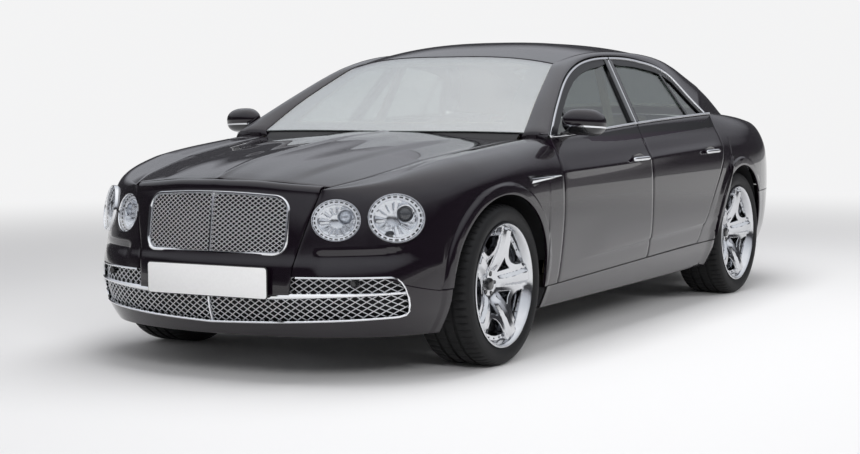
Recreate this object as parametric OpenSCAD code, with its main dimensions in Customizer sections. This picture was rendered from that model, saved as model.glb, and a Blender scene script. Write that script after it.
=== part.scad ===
// Luxury four-door saloon. X is forward, Y is left, Z is up, in millimetres.
// The origin is on the ground, midway along the car.

/* [Overall] */
// Length over the bumpers
body_length = 5296; // [5200:2:5400]
// Width of the body without the mirrors
body_width = 1976; // [1940:2:2010]
// Height of the roof above the ground
body_height = 1488; // [1460:2:1520]
// Distance between the axles
wheelbase = 3065; // [3040:5:3090]
// Front axle to the nose
front_overhang = 926; // [915:1:940]

/* [Wheels] */
// Outer radius of a tyre
tyre_r = 363; // [355:1:370]
// Width of a tyre
tyre_w = 275; // [255:5:285]
// Radius of the rim lip
rim_r = 278; // [268:1:285]
// Middle of a tyre from the middle of the car
track_half = 830; // [820:1:838]
// Number of spokes
spokes = 5; // [5:1:7]
// Radius of the wheel arch opening
arch_r = 405; // [400:1:415]
// Radius of a brake disc
disc_r = 196; // [180:1:204]

/* [Panels] */
// Thickness of a body panel
skin = 14; // [10:1:18]
// Gap between two panels
gap = 5; // [4:0.5:7]
// Thickness of a window
glass_t = 6; // [4:0.5:8]
// Depth of a door from its skin to its trim
door_depth = 118; // [100:2:126]
// Width of a window frame
frame_w = 46; // [40:2:54]

/* [Hinges] */
// Radius of a hinge pin
pin_r = 5; // [4:0.5:5.5]
// Clearance of a pin in its bore
pin_play = 0.05; // [0.02:0.01:0.1]
// Height of a hinge lug
lug_h = 48; // [40:2:56]

/* [Cabin] */
// Radius of the steering wheel
wheel_ring_r = 185; // [175:1:190]
// Middle of a seat from the middle of the car
seat_y = 385; // [375:5:395]
// Width of a front seat
seat_w = 500; // [480:10:520]

/* [Hidden] */
half_l = body_length / 2;
half_w = body_width / 2;
axle_f = half_l - front_overhang;
axle_r = axle_f - wheelbase;
over = skin;
fit = gap * 0.06;
lug_r = pin_r * 1.7;
roll_r = lug_r * 1.65;

// Side section: height as a share of the body's, half-width as a share of the body's.
side_shares = [[0.08, 0.86], [0.125, 0.905], [0.21, 0.958], [0.302, 0.982], [0.403, 0.997], [0.457, 1],
    [0.524, 0.998], [0.578, 0.986], [0.625, 0.957], [0.672, 0.921], [0.722, 0.892]];
// Reach of the nose and the tail at each height, as a share of half the length.
nose_shares = [[0.1, 0.965], [0.151, 0.984], [0.202, 0.996], [0.252, 1], [0.336, 0.997], [0.366, 0.992],
    [0.47, 0.984], [0.548, 0.975], [0.575, 0.97], [0.605, 0.958]];
tail_shares = [[0.1, 0.945], [0.155, 0.967], [0.235, 0.993], [0.302, 1], [0.403, 0.997], [0.504, 0.99],
    [0.571, 0.985], [0.638, 0.979], [0.68, 0.972]];
// How square the plan of the nose is at each height.
nose_powers = [[0.15, 9.6], [0.235, 9.4], [0.464, 7.5], [0.58, 6.8]];
tail_power = 5.3;
bend_f = half_l * 0.113;
bend_r = half_l * 0.227;
// Middle lines of the bonnet, the boot lid and the roof, along the car.
hood_shares = [[0.36, 0.696], [0.434, 0.692], [0.594, 0.67], [0.724, 0.6465], [0.845, 0.622],
    [0.9305, 0.595], [0.9724, 0.571]];
deck_shares = [[0.34, 0.746], [0.45, 0.741], [0.566, 0.733], [0.736, 0.7137], [0.869, 0.6956],
    [0.944, 0.68], [0.98, 0.668]];
roof_shares = [[-0.8, 0.672], [-0.74, 0.722], [-0.63, 0.821], [-0.513, 0.899], [-0.403, 0.959],
    [-0.264, 0.992], [-0.094, 1], [0, 0.997], [0.0755, 0.985], [0.151, 0.961], [0.2, 0.935],
    [0.31, 0.8226], [0.434, 0.692], [0.5, 0.622]];
// Fall of the bonnet and the boot lid across the car, as a share of the height.
crown_shares = [[0, 0], [0.2, 0.003], [0.4, 0.013], [0.6, 0.025], [0.68, 0.026], [0.76, 0.022],
    [0.84, 0.018], [1, 0.017]];
// How much the roof and the screens fall to their sides, along the car.
fall_shares = [[-0.742, 0.57], [-0.5, 0.85], [-0.34, 1], [0.165, 0.96], [0.313, 0.34], [0.42, 0.24],
    [0.45, 0.22]];
// Belt, window line, sill and rear door edge.
belt_shares = [[-0.491, 0.7258], [-0.3437, 0.7218], [0.026, 0.7016], [0.353, 0.6774], [0.45, 0.6754]];
window_shares = [[-0.3776, 0.729], [-0.3486, 0.783], [-0.2976, 0.884], [-0.1775, 0.931],
    [-0.0246, 0.9409], [0.1091, 0.9214], [0.2145, 0.8716], [0.327, 0.7792], [0.4343, 0.6774]];
sill_shares = [[-0.33, 0.2395], [-0.2, 0.2366], [0.023, 0.2285], [0.4475, 0.2103], [0.5, 0.21]];
door_tail_shares = [[0.2366, 0.2228], [0.321, 0.1938], [0.4167, 0.1576], [0.512, 0.1168],
    [0.5948, 0.0923], [0.672, 0.0907], [0.7225, 0.0956]];
// Side edge of the bonnet: place along the car, then half-width.
hood_edge_shares = [[0.36, 0.765], [0.405, 0.749], [0.5865, 0.698], [0.73, 0.648], [0.86, 0.585],
    [0.925, 0.505], [0.947, 0.44]];
lean = 0.65;

door_front = axle_f - wheelbase * 0.1866;
door_split = axle_f - wheelbase * 0.5423;
split_lean = wheelbase * 0.044;
hood_rear = half_l * 0.372;
hood_front_y = half_w * 0.435;
knee_x = half_l * 0.83;
bumper_top = body_height * 0.309;
bumper_side_top = body_height * 0.262;
lip_z = body_height * 0.131;

function mix(a, b, u) = a + (b - a) * u;
function clip(v, low, high) = min(high, max(low, v));
function span(t, x, i = 0) = i >= len(t) - 2 || x < t[i + 1][0] ? i : span(t, x, i + 1);
function slope(t, i) =
    let (a = max(i - 1, 0), b = min(i + 1, len(t) - 1))
    (t[b][1] - t[a][1]) / (t[b][0] - t[a][0]);
// Smooth curve through a table's points.
function curve(t, x) =
    let (i = span(t, x), h = t[i + 1][0] - t[i][0], u = clip((x - t[i][0]) / h, 0, 1))
    t[i][1] * (2 * u ^ 3 - 3 * u ^ 2 + 1) + h * slope(t, i) * (u ^ 3 - 2 * u ^ 2 + u)
    + t[i + 1][1] * (3 * u ^ 2 - 2 * u ^ 3) + h * slope(t, i + 1) * (u ^ 3 - u ^ 2);

function share_z(z) = z / body_height;
function share_x(x) = x / half_l;
function section_y(z) = half_w * curve(side_shares, share_z(z));
function nose_reach(z) = half_l * curve(nose_shares, share_z(z));
function tail_reach(z) = half_l * curve(tail_shares, share_z(z));
function nose_power(z) = curve(nose_powers, share_z(z));
function plan(x, z) =
    x > 0
    ? sqrt(max(0, 1 - clip((x - bend_f) / (nose_reach(z) - bend_f), 0, 1) ^ nose_power(z)))
    : sqrt(max(0, 1 - clip((-x - bend_r) / (tail_reach(z) - bend_r), 0, 1) ^ tail_power));
function side_y(x, z) = section_y(z) * plan(x, z);
function nose_x(y, z) =
    bend_f + (nose_reach(z) - bend_f) * (1 - (y / section_y(z)) ^ 2) ^ (1 / nose_power(z));
function tail_x(y, z) =
    -bend_r - (tail_reach(z) - bend_r) * (1 - (y / section_y(z)) ^ 2) ^ (1 / tail_power);
function crown_gain(x) = 1 + clip((x / half_l - 0.72) / 0.22, 0, 1);
function top_z(x, y) =
    body_height * ((x > 0 ? curve(hood_shares, share_x(x)) : curve(deck_shares, -share_x(x)))
    - curve(crown_shares, abs(y) / half_w) * crown_gain(x));
function roof_z(x, y) =
    body_height * curve(roof_shares, share_x(x))
    - body_height * 0.057 * curve(fall_shares, share_x(x)) * (abs(y) / (half_w * 0.68)) ^ 2.6;
function belt_z(x) = body_height * curve(belt_shares, share_x(x));
function window_z(x) = body_height * curve(window_shares, share_x(x));
function sill_z(x) = body_height * curve(sill_shares, share_x(x));
function glass_y(x, z) = side_y(x, belt_z(x)) - (z - belt_z(x)) * lean;
function door_tail(z) = axle_r + wheelbase * curve(door_tail_shares, share_z(z));
function hood_y(x) = half_w * curve(hood_edge_shares, share_x(x));
function arch_z(x, axle) = tyre_r + sqrt(max(0, arch_r ^ 2 - (x - axle) ^ 2));

// Normal of a grid of points at one of them, and the grid set in along it.
function grid_normal(g, i, j) =
    let (n = len(g) - 1, m = len(g[0]) - 1)
    let (a = g[min(i + 1, n)][j] - g[max(i - 1, 0)][j], b = g[i][min(j + 1, m)] - g[i][max(j - 1, 0)])
    let (c = cross(a, b))
    c / norm(c);
function set_in(g, t) =
    [for (i = [0:len(g) - 1]) [for (j = [0:len(g[0]) - 1]) g[i][j] + t * grid_normal(g, i, j)]];
// The same, but the last point of each row goes straight down.
function set_under(g, t) =
    let (last = len(g[0]) - 1, inner = set_in(g, t))
    [for (i = [0:len(g) - 1]) [for (j = [0:last]) j < last ? inner[i][j] : g[i][j] - [0, 0, abs(t)]]];
function shift(g, v) = [for (row = g) [for (p = row) p + v]];

// Closed solid between two grids of the same size.
module slab(a, b) {
    n = len(a);
    m = len(a[0]);
    k = floor(n / 2);
    l = floor(m / 2);
    turned = cross(a[k][l] - a[k][l - 1], a[k][l] - a[k - 1][l - 1]) * (b[k][l] - a[k][l]) < 0;
    function at(i, j, side) = side * n * m + i * m + j;
    function quad(p, q, r, s, flip) = flip ? [[p, r, q], [p, s, r]] : [[p, q, r], [p, r, s]];
    faces = [
        for (i = [0:n - 2], j = [0:m - 2], side = [0, 1])
            each quad(at(i, j, side), at(i, j + 1, side), at(i + 1, j + 1, side), at(i + 1, j, side),
                (side == 1) != turned),
        for (i = [0:n - 2], j = [0, m - 1])
            each quad(at(i, j, 0), at(i + 1, j, 0), at(i + 1, j, 1), at(i, j, 1), (j != 0) != turned),
        for (j = [0:m - 2], i = [0, n - 1])
            each quad(at(i, j, 0), at(i, j + 1, 0), at(i, j + 1, 1), at(i, j, 1), (i == 0) != turned),
    ];
    polyhedron([for (row = a) each row, for (row = b) each row], faces);
}

module pair() {
    children();
    mirror([0, 1, 0]) children();
}

// Block given by its low and high corners.
module block(low, high) {
    translate(low) cube(high - low);
}

// Stations round the body: kind 0 is a place along the side, kind 1 a share of the way to the knee
knee_r = -half_l * 0.86;
function front_point(s, z, end = 0) =
    let (y = mix(end, side_y(knee_x, z), s[1]))
    s[0] == 0 ? [s[1], side_y(s[1], z), z] : [nose_x(y, z), y, z];
function rear_point(s, z, end = 0) =
    let (y = mix(end, side_y(knee_r, z), s[1]))
    s[0] == 0 ? [s[1], side_y(s[1], z), z] : [tail_x(y, z), y, z];
// Column of points up the side, over the shoulder and in to a top edge h.
shoulder = body_height * 0.072;
side_rows = 5;
turn_rows = 4;
function column(pt, z_low, h) =
    let (top = top_z(h[0], h[1]), z1 = top - shoulder, p1 = pt(z1), p0 = pt(z1 - gap))
    let (c = [p1[0], p1[1], top] + (p1 - p0) * (shoulder / gap) - [0, 0, shoulder])
    let (t = mix([c[0], c[1], 0], [h[0], h[1], 0], 0.5), q = [t[0], t[1], top_z(t[0], t[1])])
    [
        for (k = [0:side_rows - 1]) pt(mix(z_low, z1, k / side_rows)),
        for (k = [0:turn_rows]) let (u = k / turn_rows) mix(mix(p1, c, u), mix(c, q, u), u),
        [h[0], h[1], top],
    ];

// Front wing
wing_rear = door_front + gap * 1.15;
wing_end = hood_front_y + gap / 2;
function wing_low(x) = x < axle_f - arch_r ? sill_z(x) : max(arch_z(x, axle_f), bumper_side_top);
wing_grid = [
    for (x = [wing_rear, mix(wing_rear, axle_f - arch_r, 0.6)])
        column(function(z) front_point([0, x], z), wing_low(x), [x, hood_y(x)]),
    for (k = [0:10])
        let (x = axle_f - arch_r * cos(k * 18))
        column(function(z) front_point([0, x], z), wing_low(x), [x, hood_y(x)]),
    for (k = [0:6])
        let (u = k / 6, x = mix(knee_x, half_l * 0.9435, u))
        let (low = mix(bumper_side_top, bumper_top, min(1, u * 3)))
        column(function(z) front_point([1, 1 - u], z, wing_end), low, [x, hood_y(x)]),
];

lamp_out = [half_l * 0.8856, half_w * 0.777, body_height * 0.47];
lamp_in = [half_l * 0.935, half_w * 0.559, body_height * 0.465];
lamp_turn_out = 40;
lamp_turn_in = 27;
lamp_tip = -11;
lamp_r = half_w * 0.108;
lamp_small = 0.86;
lamp_wide = 1.17;
lamp_d = lamp_r * 0.8;
module at_lamp_out() {
    translate(lamp_out) rotate([0, lamp_tip, lamp_turn_out]) rotate([0, 90, 0]) children();
}
module at_lamp_in() {
    translate(lamp_in) rotate([0, lamp_tip, lamp_turn_in]) rotate([0, 90, 0]) children();
}
module oval(r) {
    polygon([for (k = [0:35]) [r * cos(k * 10), r * lamp_wide * sin(k * 10)]]);
}
module lamp_holes() {
    at_lamp_out() translate([0, 0, -lamp_d * 1.5]) linear_extrude(lamp_d * 3) oval(lamp_r + fit);
    at_lamp_in() translate([0, 0, -lamp_d * 1.5]) linear_extrude(lamp_d * 3)
        oval(lamp_r * lamp_small + fit);
}

// Upper rails of the engine bay carry the wings
rail_y = half_w * 0.66;
rail_z = body_height * 0.552;
rail_h = body_height * 0.024;
bracket_w = skin * 3;
module wing_bracket(x) {
    y = side_y(x, rail_z) - skin * 0.8;
    block([x - bracket_w / 2, rail_y, rail_z], [x + bracket_w / 2, y, rail_z + rail_h * 0.6]);
}

module front_wings() {
    color("#241a26") pair() {
        difference() {
            slab(wing_grid, set_under(wing_grid, skin));
            lamp_holes();
        }
        wing_bracket(axle_f - arch_r * 0.8);
        wing_bracket(axle_f + arch_r * 0.7);
    }
}

// Bonnet
hood_cols = 12;
hood_rows = 12;
function hood_front_x(y) = nose_x(y, body_height * 0.56) - skin * 2.5;
function hood_rear_x(y) = half_l * 0.4335 - half_l * 0.0144 * (y / (half_w * 0.759)) ^ 2 + gap * 4;
function hood_point(i, j) =
    let (u = 2 * j / hood_rows - 1, v = i / hood_cols)
    let (y0 = u * mix(hood_y(hood_rear) - gap, hood_front_y, v))
    let (x = mix(hood_rear_x(y0), hood_front_x(y0), v ^ 0.85))
    let (y = u * (hood_y(x) - gap * 2.4))
    [x, y, top_z(x, y)];
hood_grid = [for (i = [0:hood_cols]) [for (j = [0:hood_rows]) hood_point(i, j)]];
hood_lug_y = half_w * 0.2;
hood_axis_x = hood_rear_x(hood_lug_y) + gap * 9;
hood_axis = [hood_axis_x, 0, top_z(hood_axis_x, hood_lug_y) - skin - lug_r - gap * 1.6];
hood_lug_top = top_z(hood_axis_x, hood_lug_y) - skin / 2 - hood_axis[2];
module hood() {
    color("#241a26") {
        difference() {
            union() {
                slab(hood_grid, shift(hood_grid, [0, 0, -skin]));
                for (s = [-1, 1])
                    translate([hood_axis[0], s * hood_lug_y, hood_axis[2]]) {
                        rotate([90, 0, 0]) cylinder(r = lug_r * 1.2, h = lug_h, center = true);
                        block([-lug_r / 2, -lug_h / 2, 0], [lug_r * 4, lug_h / 2, hood_lug_top]);
                    }
            }
            translate(hood_axis)
                rotate([90, 0, 0]) cylinder(r = pin_r + pin_play, h = body_width, center = true);
        }
    }
}

// Nose panel round the grille, with the opening that the grille fills
nose_low = body_height * 0.255;
function nose_top(y) = top_z(hood_front_x(y), y) - skin;
function nose_lip(y) = let (x = hood_front_x(y) + gap * 4) [x, y, top_z(x, y)];
nose_half = hood_front_y - gap;
grille_low = body_height * 0.366;
grille_top = body_height * 0.544;
grille_half = half_w * 0.374;
grille_r = half_w * 0.06;
nose_grid = [
    for (i = [0:12])
        let (y = mix(-nose_half, nose_half, i / 12))
        [
            for (j = [0:7]) let (z = mix(nose_low, nose_top(y), j / 7)) [nose_x(y, z), y, z],
            nose_lip(y),
        ],
];
// Outline of the grille seen from the front, y across and z up.
module grille_outline(inset) {
    round_r = grille_r - inset;
    hull() {
        for (s = [-1, 1]) {
            translate([s * (grille_half - grille_r), grille_low + grille_r]) circle(round_r, $fn = 24);
            translate([s * (grille_half - grille_r * 0.9), grille_top - grille_r * 1.5])
                circle(round_r, $fn = 24);
        }
        translate([-grille_half * 0.5, grille_top - grille_r]) square([grille_half, grille_r - inset]);
    }
}
// Turns a drawing in y and z into a plate that is thick along X.
module stand(x, t) {
    translate([x, 0, 0]) rotate([90, 0, 90]) linear_extrude(t) children();
}
nose_bar_x = half_l * 0.93;
module nose_panel() {
    color("#241a26") {
        difference() {
            slab(nose_grid, set_in(nose_grid, -skin));
            stand(half_l * 0.9, half_l * 0.2) grille_outline(-fit);
        }
        for (s = [-1, 1])
            block([nose_bar_x, s * half_w * 0.3 - bracket_w / 2, nose_low + skin],
                [nose_x(half_w * 0.33, nose_low) - skin, s * half_w * 0.3 + bracket_w / 2,
                    nose_low + skin * 3]);
    }
}

// Grille: bright frame, upright bar and a lattice of crossed wires
grille_x = half_l * 0.955;
wire = gap * 0.9;
module lattice(low, high, half, pitch) {
    rows = floor((high - low) / pitch);
    cols = floor(half * 2 / pitch);
    dx = half * 2 / cols;
    dz = (high - low) / rows;
    difference() {
        translate([-half, low]) square([half * 2, high - low]);
        for (i = [0:cols * 2], j = [0:rows * 2])
            if ((i + j) % 2 == 1)
                translate([-half + i * dx / 2, low + j * dz / 2])
                    polygon([[dx / 2 - wire, 0], [0, dz / 2 - wire], [wire - dx / 2, 0],
                        [0, wire - dz / 2]]);
    }
}
frame_d = grille_r * 0.8;
module grille() {
    color("silver") {
        stand(grille_x, frame_d + skin) difference() {
            grille_outline(0);
            grille_outline(wire * 3);
        }
        stand(grille_x + skin, skin * 0.6) intersection() {
            grille_outline(wire * 2);
            lattice(grille_low, grille_top, grille_half, grille_r * 0.62);
        }
        block([grille_x, -wire, grille_low + wire], [grille_x + frame_d, wire, grille_top - wire * 2]);
        for (s = [-1, 1])
            block([nose_bar_x, s * grille_half * 0.8 - wire, grille_low + wire],
                [grille_x + wire, s * grille_half * 0.8 + wire, grille_low + wire * 3]);
    }
}

// Front bumper: chin and corners round the lower mesh
mesh_low = body_height * 0.172;
mesh_half = half_w * 0.846;
bumper_stations = [
    for (k = [0:2]) [0, mix(axle_f + arch_r + gap, knee_x, k / 3)],
    for (k = [0:9]) [1, 1 - k / 9],
];
function bumper_top_z(s) = (s[0] == 0 ? bumper_side_top : mix(bumper_side_top, bumper_top,
    min(1, (1 - s[1]) * 6))) - gap;
bumper_half = [
    for (s = bumper_stations)
        [for (j = [0:8]) front_point(s, mix(lip_z, bumper_top_z(s), j / 8))],
];
function flip_y(row) = [for (p = row) [p[0], -p[1], p[2]]];
function full_round(g) = [each g, for (k = [len(g) - 2:-1:0]) flip_y(g[k])];
bumper_grid = full_round(bumper_half);
module mesh_window(inset) {
    polygon([
        [-mesh_half + inset, mix(mesh_low, bumper_top, 0.45)], [-mesh_half * 0.86, mesh_low + inset],
        [mesh_half * 0.86, mesh_low + inset], [mesh_half - inset, mix(mesh_low, bumper_top, 0.45)],
        [mesh_half * 0.97 - inset, bumper_top - gap], [mesh_half * 0.97 - inset, bumper_top + over],
        [-mesh_half * 0.97 + inset, bumper_top + over], [-mesh_half * 0.97 + inset, bumper_top - gap],
    ]);
}
chin_bar_x = half_l * 0.93;
module front_bumper() {
    color("#241a26") {
        difference() {
            slab(bumper_grid, set_in(bumper_grid, skin));
            stand(half_l * 0.85, half_l * 0.3) mesh_window(0);
        }
        for (s = [-1, 1])
            block([chin_bar_x, s * half_w * 0.2 - bracket_w / 2, lip_z + skin],
                [nose_x(half_w * 0.23, lip_z + skin) - skin / 2, s * half_w * 0.2 + bracket_w / 2,
                    lip_z + skin * 2]);
    }
}

// Lower mesh with its bright blades and upright bar
function mesh_grid(z_low, z_high, d, reach) = [
    for (k = [-12:12])
        let (y = reach * k / 12)
        [for (z = [z_low, z_high]) [nose_x(y, z) - d, y, z]],
];
module mesh_band() {
    difference() {
        mesh_wires();
        block([0, -nose_half - gap, nose_low - gap], [half_l, nose_half + gap, body_height]);
    }
}
module mesh_wires() {
    intersection() {
        slab(mesh_grid(mesh_low + skin, bumper_top - skin, skin * 3.2, mesh_half * 0.98),
            mesh_grid(mesh_low + skin, bumper_top - skin, skin * 3.8, mesh_half * 0.98));
        stand(half_l * 0.8, half_l * 0.3) intersection() {
            mesh_window(skin * 0.4);
            lattice(mesh_low, bumper_top, mesh_half, grille_r * 0.72);
        }
    }
}
module lower_grille() {
    color("dimgray") {
        mesh_band();
        for (z = [mesh_low + skin, nose_low - skin])
            slab(mesh_grid(z - wire, z + wire, skin * 2.2, mesh_half * 0.91),
                mesh_grid(z - wire, z + wire, skin * 4.4, mesh_half * 0.91));
        for (s = [-1, 1])
            block([chin_bar_x, s * half_w * 0.08 - wire, mesh_low + skin],
                [nose_x(half_w * 0.1, mesh_low) - skin * 3, s * half_w * 0.08 + wire,
                    mesh_low + skin * 2]);
    }
}

// Doors
function axis_x(xf) = xf - roll_r;
function axis_y(xf) = side_y(xf, body_height * 0.457) - roll_r;
function rear_edge(rear, z) = rear ? door_tail(z) : door_split;
function rolled_y(xf, x, z) =
    min(side_y(x, z), axis_y(xf) + sqrt(max(0, roll_r ^ 2 - max(0, x - axis_x(xf)) ^ 2)));
function door_point(xf, rear, far, c, v) =
    let (zm = mix(sill_z(xf), belt_z(xf), v), xr = rear_edge(rear, zm) + far[1])
    let (x = c < 3 ? xf - far[0] - roll_r * [0, 0.35, 1][c] : mix(xf - far[0] - roll_r, xr, (c - 2) / 8))
    let (z = mix(sill_z(x) + far[2], belt_z(x) - far[3], v))
    [x, rolled_y(xf, x, z), z];
function door_grid(xf, rear, far, cols, rows) =
    [for (c = cols) [for (j = [0:rows]) door_point(xf, rear, far, c, j / rows)]];
skin_cols = [0:10];
trim_cols = [2:2:10];
no_inset = [0, 0, 0, 0];
trim_inset = [roll_r * 3.2, skin * 2.5, skin * 2.5, skin];
lug_heights = [body_height * 0.405, body_height * 0.53];
module door_shell(xf, rear) {
    outer = door_grid(xf, rear, no_inset, skin_cols, 8);
    inner = door_grid(xf, rear, trim_inset, trim_cols, 5);
    difference() {
        union() {
            difference() {
                union() {
                    slab(outer, shift(outer, [0, -skin * 1.8, 0]));
                    slab(shift(inner, [0, -skin * 1.5, 0]), shift(inner, [0, -door_depth, 0]));
                }
                for (z = lug_heights)
                    translate([axis_x(xf), axis_y(xf), z])
                        block([-lug_r - pin_r, -skin * 3, -lug_h],
                            [roll_r * 2, lug_r + gap * 0.2, lug_h]);
            }
            for (z = lug_heights)
                translate([axis_x(xf), axis_y(xf), z]) {
                    cylinder(r = lug_r, h = lug_h, center = true);
                    block([-roll_r * 2.2, -lug_r, -lug_h / 2], [0, lug_r * 0.6, lug_h / 2]);
                }
        }
        for (z = lug_heights)
            translate([axis_x(xf), axis_y(xf), z])
                cylinder(r = pin_r + pin_play, h = lug_h + over, center = true);
    }
}
// Window frame of a door: a path in x and z, and the same path set in.
split_top = door_split - split_lean;
function split_x(side, z) =
    door_split + min(0, side) * gap * 1.15
    - split_lean * max(0, z - belt_z(door_split)) / (window_z(split_top) - belt_z(door_split));
function path_front() = [
    for (k = [0:8])
        let (x = mix(door_front - gap * 2, split_top, k / 8))
        [x, window_z(x)],
    for (k = [1:3])
        let (z = mix(window_z(split_top), belt_z(door_split), k / 3))
        [split_x(1, z), z],
    [door_split, belt_z(door_split) - skin],
];
function path_rear() = [
    for (k = [0:2])
        let (z = mix(belt_z(door_split) - skin * 0.9, window_z(split_top), k / 3))
        [split_x(-1, z), z],
    for (k = [0:10])
        let (x = mix(split_top - gap * 1.15, -half_l * 0.3776, k / 10))
        [x, window_z(x)],
];
function path_in(p, i, d) =
    let (a = p[max(i - 1, 0)], b = p[min(i + 1, len(p) - 1)], t = (b - a) / norm(b - a))
    p[i] + d * [-t[1], t[0]];
function on_glass(p, d) = [p[0], glass_y(p[0], p[1]) - d, p[1]];
frame_near = gap;
frame_far = gap + skin * 2;
module window_frame(p) {
    rim = [for (i = [0:len(p) - 1]) [p[i], path_in(p, i, frame_w)]];
    slab([for (r = rim) [for (q = r) on_glass(q, frame_near)]],
        [for (r = rim) [for (q = r) on_glass(q, frame_far)]]);
}
handle_l = half_w * 0.2;
handle_z = body_height * 0.584;
module door_handle(x) {
    y = side_y(x, handle_z);
    translate([x, y, handle_z]) {
        block([-handle_l / 2, skin, -skin * 0.6], [handle_l / 2, skin * 2, skin * 0.6]);
        for (s = [-1, 1])
            translate([s * handle_l * 0.42, 0, 0])
                block([-skin * 0.6, -skin, -skin * 0.5], [skin * 0.6, skin * 1.5, skin * 0.5]);
    }
}
module front_door() {
    color("#241a26") {
        door_shell(door_front, false);
        window_frame(path_front());
        door_handle(door_split + handle_l * 0.85);
    }
}
module rear_door() {
    color("#241a26") {
        door_shell(door_split - gap, true);
        window_frame(path_rear());
        door_handle(door_tail(handle_z) + handle_l * 1.15);
    }
}
module front_left_door() {
    front_door();
}
module front_right_door() {
    mirror([0, 1, 0]) front_door();
}
module rear_left_door() {
    rear_door();
}
module rear_right_door() {
    mirror([0, 1, 0]) rear_door();
}

// Side windows lie just inside the frames
function window_slope(x) = (window_z(x + gap) - window_z(x - gap)) / (gap * 2);
function pane_top(x) = window_z(x) - frame_w * 0.7 * sqrt(1 + window_slope(x) ^ 2);
function pane_grid(x_front, x_rear, lean_f, lean_r, d) = [
    for (i = [0:8])
        [
            for (j = [0:3])
                let (v = j / 3, x = mix(x_front - lean_f * v, x_rear - lean_r * v, i / 8))
                let (z = mix(belt_z(x) + fit, pane_top(x), v))
                on_glass([x, z], d),
        ],
];
pane_d = frame_far + fit;
module front_pane() {
    x = door_front - wheelbase * 0.034;
    color("lightblue", 0.5)
        slab(pane_grid(x, door_split + frame_w * 0.7, 0, split_lean * 0.9, pane_d),
            pane_grid(x, door_split + frame_w * 0.7, 0, split_lean * 0.9, pane_d + glass_t));
}
module rear_pane() {
    x = -half_l * 0.352;
    color("lightblue", 0.5)
        slab(pane_grid(door_split - frame_w * 0.7, x, split_lean * 0.9, 0, pane_d),
            pane_grid(door_split - frame_w * 0.7, x, split_lean * 0.9, 0, pane_d + glass_t));
}
module front_left_window() {
    front_pane();
}
module front_right_window() {
    mirror([0, 1, 0]) front_pane();
}
module rear_left_window() {
    rear_pane();
}
module rear_right_window() {
    mirror([0, 1, 0]) rear_pane();
}

// Mirrors stand on the front doors
mirror_x = half_l * 0.355;
mirror_z = body_height * 0.722;
mirror_half = half_w * 0.105;
// Square grid bent to a round dome, for the shell of a mirror.
function dome(rise) = [
    for (i = [-4:4])
        [
            for (j = [-4:4])
                let (u = i / 4, v = j / 4, y = u * sqrt(1 - v * v / 2), z = v * sqrt(1 - u * u / 2))
                [
                    mirror_x + rise * sqrt(max(0, 1 - y * y - z * z)),
                    half_w * 1.012 + mirror_half * y,
                    mirror_z + mirror_half * 0.6 * z,
                ],
        ],
];
module side_mirror() {
    y = side_y(mirror_x, belt_z(mirror_x));
    base = belt_z(mirror_x) + gap * 0.2;
    color("#241a26") {
        slab(shift(dome(mirror_half * 0.8), [gap, 0, 0]), dome(-gap));
        translate([0, 0, base])
            linear_extrude(skin * 1.4)
                polygon([
                    [mirror_x - skin * 1.5, y - skin * 1.5], [mirror_x + skin * 3, y - skin * 1.5],
                    [mirror_x + skin * 2, half_w * 0.97], [mirror_x + skin * 0.5, half_w * 0.97],
                ]);
    }
}
module left_mirror() {
    side_mirror();
}
module right_mirror() {
    mirror([0, 1, 0]) side_mirror();
}

// Screens and roof
screen_base = half_l * 0.4335;
screen_head = half_l * 0.189;
screen_low_y = half_w * 0.759;
screen_high_y = half_w * 0.597;
tail_base = -half_l * 0.742;
tail_head = -half_l * 0.43;
function screen_edge(y) = screen_base - half_l * 0.0144 * (y / screen_low_y) ^ 2;
function head_edge(y) = screen_head - half_l * 0.02 * (y / screen_high_y) ^ 2;
function tail_edge(y) = tail_head + half_l * 0.02 * (y / screen_high_y) ^ 2;
function windscreen_point(u, v) =
    let (y = u * mix(screen_low_y, screen_high_y, v))
    let (x = mix(screen_edge(y), head_edge(y), v))
    [x, y, roof_z(x, y)];
function roof_point(u, v) =
    let (y = u * screen_high_y)
    let (x = mix(head_edge(y) - gap, tail_edge(y) + gap, v))
    [x, y, roof_z(x, y)];
function tail_window_point(u, v) =
    let (y = u * mix(screen_high_y, half_w * 0.62, v))
    let (x = mix(tail_edge(y), tail_base, v))
    [x, y, roof_z(x, y)];
function patch(f, u0, u1, v0, v1, n, m) =
    [for (i = [0:n]) [for (j = [0:m]) f(mix(u0, u1, j / m), mix(v0, v1, i / n))]];
module windscreen() {
    g = patch(function(u, v) windscreen_point(u, v), -1, 1, 0, 1, 8, 12);
    color("lightblue", 0.5) slab(g, set_in(g, glass_t));
}
module rear_window() {
    g = patch(function(u, v) tail_window_point(u, v), -1, 1, 0, 1, 8, 12);
    color("lightblue", 0.5) slab(g, set_in(g, glass_t));
}
roof_t = skin * 0.6;
module roof() {
    g = patch(function(u, v) roof_point(u, v), -1, 1, 0, 1, 12, 12);
    color("#241a26") slab(g, set_in(g, roof_t));
}

// Rear wing, from the rear door round to the boot lid
lid_y = half_w * 0.65;
tail_split = body_height * 0.4;
function arch_edge(z, axle, side) =
    axle + side * sqrt(max(0, arch_r ^ 2 - max(0, z - tyre_r) ^ 2));
// Inner edge of the rear wing: along the foot of the rear pillar, then beside the boot lid.
function quarter_edge(x) =
    [x, half_w * mix(0.862, 0.657, clip((-x - half_l * 0.39) / (half_l * 0.35), 0, 1))];
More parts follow.
